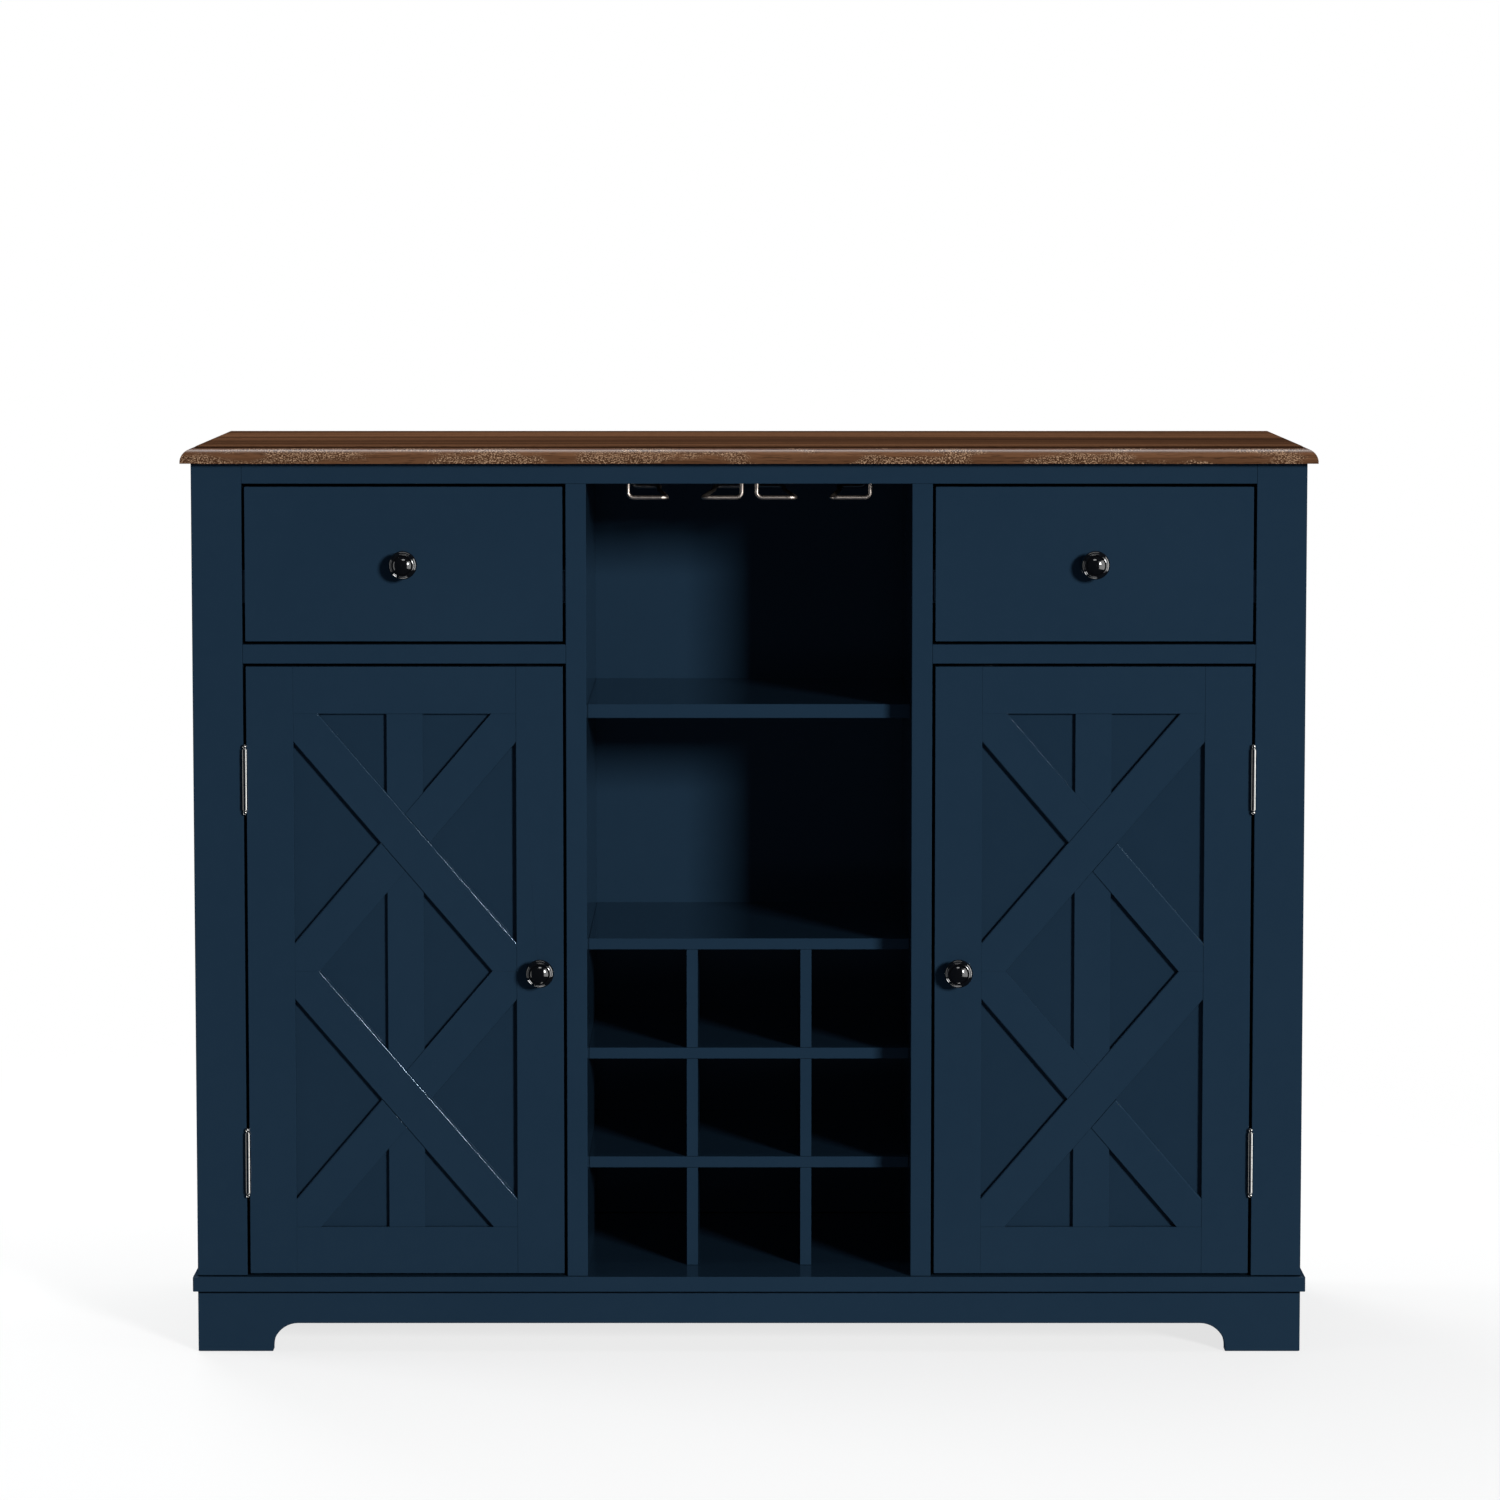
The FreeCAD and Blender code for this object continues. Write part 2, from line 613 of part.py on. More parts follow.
def make_door_frame():
    """Two full-height stiles and two rails, grooved for the panel; stub tenons fill the grooves."""
    groove_y0 = FACE_Y + DOOR_PANEL_RECESS
    groove_y1 = groove_y0 + DOOR_PANEL_THICKNESS
    left_edge, right_edge = FRONT_X0 + DOOR_MEMBER, FRONT_X1 - DOOR_MEMBER
    low_edge, high_edge = DOOR_Z0 + DOOR_MEMBER, DOOR_Z1 - DOOR_MEMBER
    hinge_stile = box(FRONT_X0, left_edge, FACE_Y, DOOR_BACK_Y, DOOR_Z0, DOOR_Z1)
    knob_stile = box(right_edge, FRONT_X1, FACE_Y, DOOR_BACK_Y, DOOR_Z0, DOOR_Z1)
    hinge_stile = hinge_stile.cut(
        box(left_edge - DOOR_TONGUE, left_edge, groove_y0, groove_y1, DOOR_Z0, DOOR_Z1))
    knob_stile = cut_all(knob_stile, [
        box(right_edge, right_edge + DOOR_TONGUE, groove_y0, groove_y1, DOOR_Z0, DOOR_Z1),
        knob_bore(DOOR_KNOB, DOOR_THICKNESS),
    ])
    rails = []
    for z0, z1, slot_z0, slot_z1 in (
            (DOOR_Z0, low_edge, low_edge - DOOR_TONGUE, low_edge),
            (high_edge, DOOR_Z1, high_edge, high_edge + DOOR_TONGUE)):
        rail = box(left_edge, right_edge, FACE_Y, DOOR_BACK_Y, z0, z1)
        tenons = box(left_edge - DOOR_TONGUE, right_edge + DOOR_TONGUE, groove_y0, groove_y1, z0, z1)
        slot = box(left_edge - DOOR_TONGUE, right_edge + DOOR_TONGUE, groove_y0, groove_y1,
                   slot_z0, slot_z1)
        rails.append(rail.fuse(tenons).cut(slot).removeSplitter())
    return [hinge_stile, knob_stile] + rails


def make_door_panel():
    y0 = FACE_Y + DOOR_PANEL_RECESS
    inset = DOOR_MEMBER - DOOR_TONGUE
    return box(FRONT_X0 + inset, FRONT_X1 - inset, y0, y0 + DOOR_PANEL_THICKNESS,
               DOOR_Z0 + inset, DOOR_Z1 - inset)


def brace_bar(start, end):
    """A flat strip whose middle line runs from start to end and well past both."""
    along = (end - start).normalize()
    across = Vec(along.z, 0, -along.x) * (BRACE_WIDTH / 2)
    start, end = start - along * BRACE_WIDTH, end + along * BRACE_WIDTH
    corners = [start - across, start + across, end + across, end - across]
    return prism(corners, Vec(0, DOOR_PANEL_RECESS - BRACE_RECESS, 0))


def make_braces_and_mullion():
    """Two stacked crosses on the panel, and a thinner upright strip between them in three lengths.

    In each cross one strip runs through from hinge-top to knob-bottom, and the other is in two
    halves that butt against it. The crosses mitre where they meet at mid-height.
    """
    x0, x1 = FRONT_X0 + DOOR_MEMBER, FRONT_X1 - DOOR_MEMBER
    z0, z1 = DOOR_Z0 + DOOR_MEMBER, DOOR_Z1 - DOOR_MEMBER
    middle_z = (z0 + z1) / 2
    y0 = FACE_Y + BRACE_RECESS
    y1 = FACE_Y + DOOR_PANEL_RECESS
    braces = []
    for low, high in ((middle_z, z1), (z0, middle_z)):
        field = box(x0, x1, y0, y1, low, high)
        through = brace_bar(Vec(x0, y0, high), Vec(x1, y0, low)).common(field)
        crossing = brace_bar(Vec(x1, y0, high), Vec(x0, y0, low)).common(field)
        braces += through.Solids + crossing.cut(through).Solids
    middle_x = (x0 + x1) / 2
    half = MULLION_WIDTH / 2
    upright = box(middle_x - half, middle_x + half, FACE_Y + MULLION_RECESS, y1, z0, z1)
    return braces, cut_all(upright, braces).Solids


def knob_section(place):
    """Half outline of a knob: a foot, a waisted neck and a head with a rim, a ring and a dome."""

    def point(radius, out):
        return place + Vec(radius, -out, 0)

    bore = KNOB_SCREW_RADIUS
    foot = point(KNOB_FOOT_RADIUS, KNOB_FOOT_HEIGHT)
    waist = point(KNOB_NECK_RADIUS, (KNOB_FOOT_HEIGHT + KNOB_THROAT_HEIGHT) / 2)
    throat = point(KNOB_THROAT_RADIUS, KNOB_THROAT_HEIGHT)
    underside = point(KNOB_UNDERSIDE_RADIUS, KNOB_UNDERSIDE_HEIGHT)
    rim = point(KNOB_RADIUS, KNOB_RIM_HEIGHT)
    rim_round = point(KNOB_RIM_ROUND_RADIUS, KNOB_RIM_ROUND_HEIGHT)
    rim_front = point(KNOB_RIM_FRONT_RADIUS, KNOB_RIM_FRONT_HEIGHT)
    step = point(KNOB_STEP_RADIUS, KNOB_STEP_HEIGHT)
    ring = point(KNOB_RING_RADIUS, KNOB_RING_HEIGHT)
    ring_end = point(KNOB_RING_END_RADIUS, KNOB_RING_END_HEIGHT)
    groove = point(KNOB_GROOVE_RADIUS, KNOB_GROOVE_HEIGHT)
    dome_edge = point(KNOB_DOME_RADIUS, KNOB_DOME_HEIGHT)
    dome_rise = KNOB_PROJECTION - KNOB_DOME_HEIGHT
    ball = (KNOB_DOME_RADIUS ** 2 + dome_rise ** 2) / (2 * dome_rise)
    half_angle = math.asin(KNOB_DOME_RADIUS / ball) / 2
    dome_middle = point(ball * math.sin(half_angle), KNOB_PROJECTION - ball * (1 - math.cos(half_angle)))
    tip = point(0, KNOB_PROJECTION)
    return [
        line(point(bore, 0), point(KNOB_FOOT_RADIUS, 0)),
        line(point(KNOB_FOOT_RADIUS, 0), foot),
        arc(foot, waist, throat),
        arc(throat, underside, rim),
        arc(rim, rim_round, rim_front),
        line(rim_front, step),
        arc(step, ring, ring_end),
        line(ring_end, groove),
        line(groove, dome_edge),
        arc(dome_edge, dome_middle, tip),
        line(tip, point(0, KNOB_SCREW_DEPTH)),
        line(point(0, KNOB_SCREW_DEPTH), point(bore, KNOB_SCREW_DEPTH)),
        line(point(bore, KNOB_SCREW_DEPTH), point(bore, 0)),
    ]


def make_knob(place):
    section = Part.Face(Part.Wire(knob_section(place)))
    return section.revolve(place, Vec(0, 1, 0), 360)


def knob_bore(place, thickness):
    return rod(KNOB_SCREW_RADIUS, place, place + Vec(0, thickness, 0))


def make_knob_screw(place, thickness):
    """A machine screw from behind the board into the knob."""
    head_end = thickness + KNOB_SCREW_HEAD_HEIGHT
    outline = [
        (0.0, -KNOB_SCREW_DEPTH),
        (KNOB_SCREW_RADIUS, -KNOB_SCREW_DEPTH),
        (KNOB_SCREW_RADIUS, thickness),
        (KNOB_SCREW_HEAD, thickness),
        (KNOB_SCREW_HEAD, head_end),
        (0.0, head_end),
    ]
    return turned(outline, place, Vec(0, 1, 0))


def make_strike():
    """The steel plate on the back of the door that meets the catch."""
    middle_x = FRONT_X1 - CATCH_LENGTH
    middle_z = DRAWER_DECK_BOTTOM - CATCH_HEIGHT / 2
    low = middle_z - STRIKE_HEIGHT / 2
    return box(middle_x - STRIKE_LENGTH / 2, middle_x + STRIKE_LENGTH / 2, DOOR_BACK_Y,
               DOOR_BACK_Y + STRIKE_THICKNESS, low, min(low + STRIKE_HEIGHT, DOOR_Z1))


# Hinges

def hinge_screw_places(middle_z, side):
    """Heads of the screws in one leaf, on the side (-1 stile, 1 door) of the hinge line."""
    y = FACE_Y + HINGE_LEAF_DEPTH / 2
    x = HINGE_X + side * (REVEAL / 2 - HINGE_LEAF)
    half = HINGE_SCREW_SPACING / 2
    return [Vec(x, y, middle_z - half), Vec(x, y, middle_z + half)]


def make_hinge_screw(head, side):
    """A countersunk screw driven sideways through a leaf into the stile or the door."""
    outline = [
        (0.0, 0.0),
        (HINGE_SCREW_HEAD, 0.0),
        (HINGE_SCREW_RADIUS, HINGE_LEAF),
        (HINGE_SCREW_RADIUS, HINGE_SCREW_LENGTH),
        (0.0, HINGE_SCREW_LENGTH),
    ]
    return turned(outline, head, Vec(side, 0, 0))


def make_leaf(middle_z, side):
    """One leaf of a butt hinge, rolled round the pin at every other knuckle."""
    low = middle_z - HINGE_LENGTH / 2
    knuckle = HINGE_LENGTH / KNUCKLES
    near = HINGE_X + side * (REVEAL / 2 - HINGE_LEAF)
    far = HINGE_X + side * REVEAL / 2
    x0, x1 = min(near, far), max(near, far)
    plate_y = HINGE_Y + BARREL_RADIUS + LEAF_CLEARANCE
    leaf = box(x0, x1, plate_y, FACE_Y + HINGE_LEAF_DEPTH, low, low + HINGE_LENGTH)
    first = 0 if side < 0 else 1
    for number in range(first, KNUCKLES, 2):
        z0 = low + number * knuckle + KNUCKLE_PLAY / 2
        z1 = low + (number + 1) * knuckle - KNUCKLE_PLAY / 2
        barrel = rod(BARREL_RADIUS, Vec(HINGE_X, HINGE_Y, z0), Vec(HINGE_X, HINGE_Y, z1))
        arm = box(x0, x1, HINGE_Y, plate_y, z0, z1)
        leaf = leaf.fuse(barrel).fuse(arm)
    bore = rod(HINGE_PIN_RADIUS + HINGE_PIN_PLAY, Vec(HINGE_X, HINGE_Y, low),
               Vec(HINGE_X, HINGE_Y, low + HINGE_LENGTH))
    screws = [make_hinge_screw(head, side) for head in hinge_screw_places(middle_z, side)]
    return cut_all(leaf, [bore] + screws).removeSplitter()


def make_hinge_pin(middle_z):
    """The pin, with a neck and a ball at each end."""
    half = HINGE_LENGTH / 2

    def at(z):
        return Vec(HINGE_X, HINGE_Y, middle_z + z)

    pin = rod(HINGE_PIN_RADIUS, at(-half), at(half))
    for end in (-1, 1):
        neck_end = end * (half + FINIAL_NECK)
        pin = pin.fuse(rod(FINIAL_NECK_RADIUS, at(end * half), at(neck_end)))
        pin = pin.fuse(Part.makeSphere(FINIAL_RADIUS, at(neck_end + end * FINIAL_RISE)))
    return pin.removeSplitter()


# Drawers

def make_drawer_front():
    board = box(FRONT_X0, FRONT_X1, FACE_Y, BOX_Y0, DRAWER_Z0, DRAWER_Z1)
    slot = box(BOX_X0 + DRAWER_WALL - DRAWER_GROOVE, BOX_X1 - DRAWER_WALL + DRAWER_GROOVE,
               BOX_Y0 - DRAWER_GROOVE, BOX_Y0, BOX_BOTTOM_Z, BOX_BOTTOM_Z + DRAWER_BOTTOM_THICKNESS)
    return cut_all(board, [slot, knob_bore(DRAWER_KNOB, DRAWER_FRONT_THICKNESS)])


def make_drawer_walls():
    """Two grooved sides, and a back that stops above the bottom panel."""
    top = BOX_Z0 + DRAWER_SIDE_HEIGHT
    bottom_top = BOX_BOTTOM_Z + DRAWER_BOTTOM_THICKNESS
    left_in, right_in = BOX_X0 + DRAWER_WALL, BOX_X1 - DRAWER_WALL
    left = box(BOX_X0, left_in, BOX_Y0, BOX_Y1, BOX_Z0, top)
    right = box(right_in, BOX_X1, BOX_Y0, BOX_Y1, BOX_Z0, top)
    left = left.cut(box(left_in - DRAWER_GROOVE, left_in, BOX_Y0, BOX_Y1, BOX_BOTTOM_Z, bottom_top))
    right = right.cut(box(right_in, right_in + DRAWER_GROOVE, BOX_Y0, BOX_Y1, BOX_BOTTOM_Z, bottom_top))
    back = box(left_in, right_in, BOX_Y1 - DRAWER_WALL, BOX_Y1, bottom_top, top)
    return [left, right, back]


def make_drawer_bottom():
    reach = DRAWER_WALL - DRAWER_GROOVE
    return box(BOX_X0 + reach, BOX_X1 - reach, BOX_Y0 - DRAWER_GROOVE, BOX_Y1,
               BOX_BOTTOM_Z, BOX_BOTTOM_Z + DRAWER_BOTTOM_THICKNESS)


def channel_outline(near, far, half, lip, sheet):
    """Corners of a lipped channel: out from the wall, up from the slide's middle."""
    upper = [(far, lip), (far - sheet, lip), (far - sheet, half - sheet), (near + sheet, half - sheet)]
    lower = [(out, -up) for out, up in reversed(upper)]
    return [(near, half), (far, half)] + upper + lower + [(far, -half), (near, -half)]


def hat_outline(near, half, foot, sheet):
    """Corners of the drawer's member: feet held in the middle channel, a web on the drawer side."""
    upper = [(near, half - sheet), (near, foot), (near + sheet, foot), (near + sheet, half)]
    lower = [(out, -up) for out, up in reversed(upper)]
    web = SLIDE_WIDTH - sheet
    return (upper + [(SLIDE_WIDTH, half), (SLIDE_WIDTH, -half)] + lower
            + [(web, sheet - half), (web, half - sheet)])


def make_slide(wall_x, facing):
    """The three channels of one slide on a wall, facing +X (1) or -X (-1)."""

    def channel(outline):
        corners = [Vec(wall_x + facing * out, SLIDE_Y0, SLIDE_Z + up) for out, up in outline]
        return prism(corners, Vec(0, SLIDE_LENGTH, 0))

    return (channel(channel_outline(**CABINET_CHANNEL)),
            channel(channel_outline(**MIDDLE_CHANNEL)),
            channel(hat_outline(**DRAWER_HAT)))


# Assembly: every named piece, modelled on the left and mirrored to the right

def add_left_and_right(nodes, pieces):
    """A node for the left pieces of each kind, and one for their mirror images."""
    for name, solids in pieces.items():
        nodes["left_" + name] = solids
        nodes["right_" + name] = [mirrored(solid) for solid in solids]


def add_mirrored_groups(nodes, pieces):
    """One node for each kind, holding the left pieces and their mirror images."""
    for name, solids in pieces.items():
        nodes[name] = solids + [mirrored(solid) for solid in solids]


def collect_carcass(nodes):
    nodes["top_panel"] = [make_top()]
    nodes["top_rail"] = [box(STILE_INNER_X, -STILE_INNER_X, FACE_Y, FRAME_BACK_Y,
                             TOP_RAIL_BOTTOM, CARCASS_TOP)]
    nodes["rear_top_rails"] = make_rear_top_rails()
    nodes["bottom_panel"] = [box(-BODY_HALF - DECK_LIP, BODY_HALF + DECK_LIP, FACE_Y - DECK_LIP,
                                 BACK_Y, BASE_HEIGHT, DECK_TOP)]
    nodes["front_skirt"] = [make_front_skirt()]
    nodes["base_rails"] = make_base_rails()
    nodes["centre_back_panel"] = [make_back_panel(-CENTRE_HALF_WIDTH, CENTRE_HALF_WIDTH)]
    stile = box(-BODY_HALF, STILE_INNER_X, FACE_Y, FRAME_BACK_Y, DECK_TOP, CARCASS_TOP)
    add_left_and_right(nodes, {
        "side_panel": [make_side_panel()],
        "partition": [make_partition()],
    })
    add_mirrored_groups(nodes, {
        "outer_stiles": [stile],
        "side_skirts": [make_side_skirt()],
        "drawer_decks": [make_drawer_deck()],
        "cupboard_back_panels": [make_back_panel(SIDE_INNER_X, PARTITION_OUTER_X)],
    })


def collect_centre_bay(nodes):
    nodes["centre_shelf"] = [box(-CENTRE_HALF_WIDTH, CENTRE_HALF_WIDTH,
                                 FACE_Y + CENTRE_SHELF_SETBACK, BACK_PANEL_Y,
                                 CENTRE_SHELF_TOP - CENTRE_SHELF_THICKNESS, CENTRE_SHELF_TOP)]
    nodes["rack_top_board"] = [box(-CENTRE_HALF_WIDTH, CENTRE_HALF_WIDTH, RACK_Y0, BACK_PANEL_Y,
                                   RACK_TOP_UNDERSIDE, RACK_TOP_UNDERSIDE + RACK_BOARD)]
    nodes["rack_shelves"] = make_rack_shelves()
    nodes["rack_slats"] = make_rack_slats()
    add_left_and_right(nodes, {"stemware_rack": [make_stemware_wire(turn) for turn in (-1, 1)]})
    add_mirrored_groups(nodes, {"stemware_screws": [make_tab_screw(place) for place in tab_screw_places()]})


def collect_cupboards(nodes):
    screws = [make_hinge_screw(head, -1) for z in HINGE_MIDDLES for head in hinge_screw_places(z, -1)]
    add_mirrored_groups(nodes, {
        "cupboard_shelves": [make_cupboard_shelf()],
        "shelf_pins": make_shelf_pins(),
        "door_catches": [make_catch()],
        "runner_battens": [make_runner_batten()],
        "hinge_frame_leaves": [make_leaf(z, -1) for z in HINGE_MIDDLES],
        "hinge_pins": [make_hinge_pin(z) for z in HINGE_MIDDLES],
        "hinge_frame_screws": screws,
    })


def collect_doors(nodes):
    braces, mullion = make_braces_and_mullion()
    screws = [make_hinge_screw(head, 1) for z in HINGE_MIDDLES for head in hinge_screw_places(z, 1)]
    add_left_and_right(nodes, {
        "door_frame": make_door_frame(),
        "door_panel": [make_door_panel()],
        "door_braces": braces,
        "door_mullion": mullion,
        "door_knob": [make_knob(DOOR_KNOB)],
        "door_hinge_leaves": [make_leaf(z, 1) for z in HINGE_MIDDLES],
        "door_strike": [make_strike()],
        "door_screws": screws + [make_knob_screw(DOOR_KNOB, DOOR_THICKNESS)],
    })


def collect_drawers(nodes):
    slides = [make_slide(STILE_INNER_X, 1), make_slide(PARTITION_OUTER_X, -1)]
    add_mirrored_groups(nodes, {"slide_cabinet_members": [slide[0] for slide in slides]})
    add_left_and_right(nodes, {
        "drawer_front": [make_drawer_front()],
        "drawer_walls": make_drawer_walls(),
        "drawer_bottom": [make_drawer_bottom()],
        "drawer_knob": [make_knob(DRAWER_KNOB)],
        "drawer_knob_screw": [make_knob_screw(DRAWER_KNOB, DRAWER_FRONT_THICKNESS)],
        "slide_middle_members": [slide[1] for slide in slides],
        "slide_drawer_members": [slide[2] for slide in slides],
    })


def main():
    nodes = {}
    for collect in (collect_carcass, collect_centre_bay, collect_cupboards, collect_doors, collect_drawers):
        collect(nodes)
    os.makedirs("parts", exist_ok=True)
    for name, solids in nodes.items():
        shape = solids[0] if len(solids) == 1 else Part.makeCompound(solids)
        if not shape.isValid() or len(shape.Solids) != len(solids):
            raise ValueError(f"{name} isn't {len(solids)} valid solids")
        shape.exportStep(os.path.join("parts", name + ".step"))
    print(f"{len(nodes)} nodes, {sum(len(solids) for solids in nodes.values())} solids")


main()
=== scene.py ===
# %% [markdown]
# # A farmhouse wine cabinet, finished and lit
# The joinery arrives packed: every board, strip, hinge and slide sits in place and knows which body it
# rides on. This lesson adds what a finisher and a photographer add: eased edges, paint, wood, metal, a
# camera and light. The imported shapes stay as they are, and every step works on top of them.

import json
import math

import bmesh
import bpy
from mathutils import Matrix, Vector


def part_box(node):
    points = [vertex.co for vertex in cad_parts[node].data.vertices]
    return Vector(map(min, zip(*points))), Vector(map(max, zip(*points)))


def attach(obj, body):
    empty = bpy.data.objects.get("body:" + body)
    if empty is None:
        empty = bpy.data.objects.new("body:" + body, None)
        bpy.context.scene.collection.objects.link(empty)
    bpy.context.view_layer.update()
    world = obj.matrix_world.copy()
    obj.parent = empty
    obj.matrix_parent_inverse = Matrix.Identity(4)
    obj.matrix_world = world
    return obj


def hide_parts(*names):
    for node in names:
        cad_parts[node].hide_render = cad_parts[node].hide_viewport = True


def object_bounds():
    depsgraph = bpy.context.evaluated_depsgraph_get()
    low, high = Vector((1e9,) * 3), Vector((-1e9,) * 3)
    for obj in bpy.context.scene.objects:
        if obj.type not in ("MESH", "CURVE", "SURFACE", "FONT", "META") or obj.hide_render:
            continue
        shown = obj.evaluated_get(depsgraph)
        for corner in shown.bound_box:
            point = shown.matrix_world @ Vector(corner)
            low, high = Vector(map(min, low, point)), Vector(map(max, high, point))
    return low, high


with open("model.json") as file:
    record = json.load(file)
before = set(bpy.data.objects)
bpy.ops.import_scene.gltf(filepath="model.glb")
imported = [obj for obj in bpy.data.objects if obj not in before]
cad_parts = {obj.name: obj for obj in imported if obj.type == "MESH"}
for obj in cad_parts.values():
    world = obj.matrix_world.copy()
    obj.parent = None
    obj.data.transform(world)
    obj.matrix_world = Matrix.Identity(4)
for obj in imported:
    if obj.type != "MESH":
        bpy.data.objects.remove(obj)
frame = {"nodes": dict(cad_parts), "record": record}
cad_low, cad_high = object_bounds()
nodes = frame["nodes"]
print(f"{len(nodes)} pieces in a box of {[round(side, 3) for side in cad_high - cad_low]} m")

# %% [markdown]
# ## The camera
# The picture was taken from well back, a little above the top, with the frame lowered so that uprights
# stay nearly parallel. A level camera with a large shift would do that too, but a shift stays with the
# camera when it walks round the cabinet. So a long lens tilts down slightly, and only a small shift is
# left.

# %% Place the camera
CAMERA_SIDE = 0.001
CAMERA_DISTANCE = 5.605
CAMERA_HEIGHT = 1.22
AIM_HEIGHT = 0.7274
LENS_MM = 127.42
FRAME_SHIFT = -0.05

scene = bpy.context.scene
scene.view_settings.view_transform = "Standard"
face_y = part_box("left_drawer_front")[0].y


def link(obj):
    """Puts a new object in the scene."""
    scene.collection.objects.link(obj)
    return obj


def look_at(obj, place, target):
    """Stands an object at a place and turns it to face a target."""
    obj.location = place
    obj.rotation_mode = "QUATERNION"
    obj.rotation_quaternion = (target - place).to_track_quat("-Z", "Y")


lens = bpy.data.cameras.new("portrait_lens")
lens.lens = LENS_MM
lens.shift_y = FRAME_SHIFT
camera = link(bpy.data.objects.new("portrait_camera", lens))
look_at(camera, Vector((CAMERA_SIDE, face_y - CAMERA_DISTANCE, CAMERA_HEIGHT)),
        Vector((CAMERA_SIDE, face_y, AIM_HEIGHT)))
scene.camera = camera
print(f"camera {CAMERA_DISTANCE} m in front of the doors, {LENS_MM} mm lens")

# %% [markdown]
# ## Shader sums as plain Python
# A finish is a sum of small patterns. It could be wired up node by node, but the wires hide the idea. So
# one class wraps a socket and turns plus, minus and times into Math nodes, with a plain number on either
# side if need be.


# %% A socket that can be added and multiplied
class Pattern:
    """A value that changes over a surface; arithmetic on it adds Math nodes."""

    def __init__(self, finish, socket):
        self.finish = finish
        self.socket = socket

    def __add__(self, other):
        return self.finish.math("ADD", self, other)

    def __sub__(self, other):
        return self.finish.math("SUBTRACT", self, other)

    def __rsub__(self, other):
        return self.finish.math("SUBTRACT", other, self)

    def __mul__(self, other):
        return self.finish.math("MULTIPLY", self, other)

    __radd__ = __add__
    __rmul__ = __mul__


# %% [markdown]
# Every other node comes from one method. It takes the node's type, its settings, and then a value or a
# link for each socket. The short methods after it only give plain names to the nodes that come up again
# and again.


# %% A node tree to fill
class Finish:
    """The nodes of one material, or of the world."""

    def __init__(self, tree):
        self.tree = tree
        tree.nodes.clear()

    def node(self, kind, settings, inputs, output=0):
        """Adds a node: settings first, then each socket's value or link. Returns one of its outputs."""
        made = self.tree.nodes.new(kind)
        for name, setting in settings.items():
            if name == "stops":
                place_stops(made.color_ramp.elements, setting)
            else:
                setattr(made, name, setting)
        for name, value in inputs.items():
            if isinstance(value, Pattern):
                self.tree.links.new(value.socket, made.inputs[name])
            else:
                made.inputs[name].default_value = value
        return Pattern(self, made.outputs[output]) if made.outputs else None

    def math(self, operation, first, second=0.0):
        return self.node("ShaderNodeMath", {"operation": operation}, {0: first, 1: second})

    def limit(self, value, low, high):
        """Rises from 0 to 1 as value goes from low to high, with soft ends."""
        return self.node("ShaderNodeMapRange", {"interpolation_type": "SMOOTHSTEP"},
                         {"Value": value, "From Min": low, "From Max": high})

    def mix(self, share, first, second):
        """A colour part of the way from first to second. Sockets 6 and 7 take a Mix node's colours."""
        return self.node("ShaderNodeMix", {"data_type": "RGBA"}, {0: share, 6: first, 7: second}, 2)

    def choose(self, share, first, second):
        """A place: first where share is 0, second where it is 1. Sockets 4 and 5 take its vectors."""
        return self.node("ShaderNodeMix", {"data_type": "VECTOR"}, {0: share, 4: first, 5: second}, 1)

    def place(self):
        """Where a point is on its piece, in metres."""
        return self.node("ShaderNodeTexCoord", {}, {}, "Object")

    def along(self, axis, place):
        return self.node("ShaderNodeSeparateXYZ", {}, {0: place}, axis)

    def stretch(self, place, factors):
        return self.node("ShaderNodeVectorMath", {"operation": "MULTIPLY"}, {0: place, 1: factors})

    def noise(self, place, scale, detail=2.0, roughness=0.5):
        return self.node("ShaderNodeTexNoise", {},
                         {"Vector": place, "Scale": scale, "Detail": detail, "Roughness": roughness})

    def bump(self, height, strength, distance):
        return self.node("ShaderNodeBump", {},
                         {"Height": height, "Strength": strength, "Distance": distance}, "Normal")

    def principled(self, inputs):
        shader = self.node("ShaderNodeBsdfPrincipled", {}, inputs)
        self.node("ShaderNodeOutputMaterial", {}, {"Surface": shader})


# %% [markdown]
# Three helpers go with it. Colours are noted down as a screen shows them, because that is how one reads
# them off a sample. Light is worked out in linear values, so `shade` takes each colour through the
# screen's curve.


# %% Helpers for finishes
def place_stops(elements, stops):
    """Sets a ramp's stops from (position, colour) pairs."""
    while len(elements) < len(stops):
        elements.new(1.0)
    for element, (position, colour) in zip(elements, stops):
        element.position = position
        element.color = colour


def new_finish(name):
    material = bpy.data.materials.new(name)
    material.use_nodes = True
    return material, Finish(material.node_tree)


def shade(red, green, blue):
    """The linear colour of a screen colour, whose values run from 0 to 255."""
    def linear(value):
        """One value taken back through the screen's curve, which has a straight foot and then a power."""
        part = value / 255
        return part / 12.92 if part <= 0.04045 else ((part + 0.055) / 1.055) ** 2.4
    return (linear(red), linear(green), linear(blue), 1.0)


print(f"a middle grey on the screen is {shade(128, 128, 128)[0]:.2f} of white in light")

# %% [markdown]
# ## The studio
# The backdrop is white. A room that is white all round would light the cabinet from every side and wash
# out its shadows, so the world looks white to the camera but lights the cabinet only softly. Gloss
# mirrors a studio as real ones are: bright high up behind the cabinet, dim and bluish low down and
# towards the photographer. Dark gloss then stays dark, and the top, seen at a very flat angle, shows its
# wood and not a white veil.

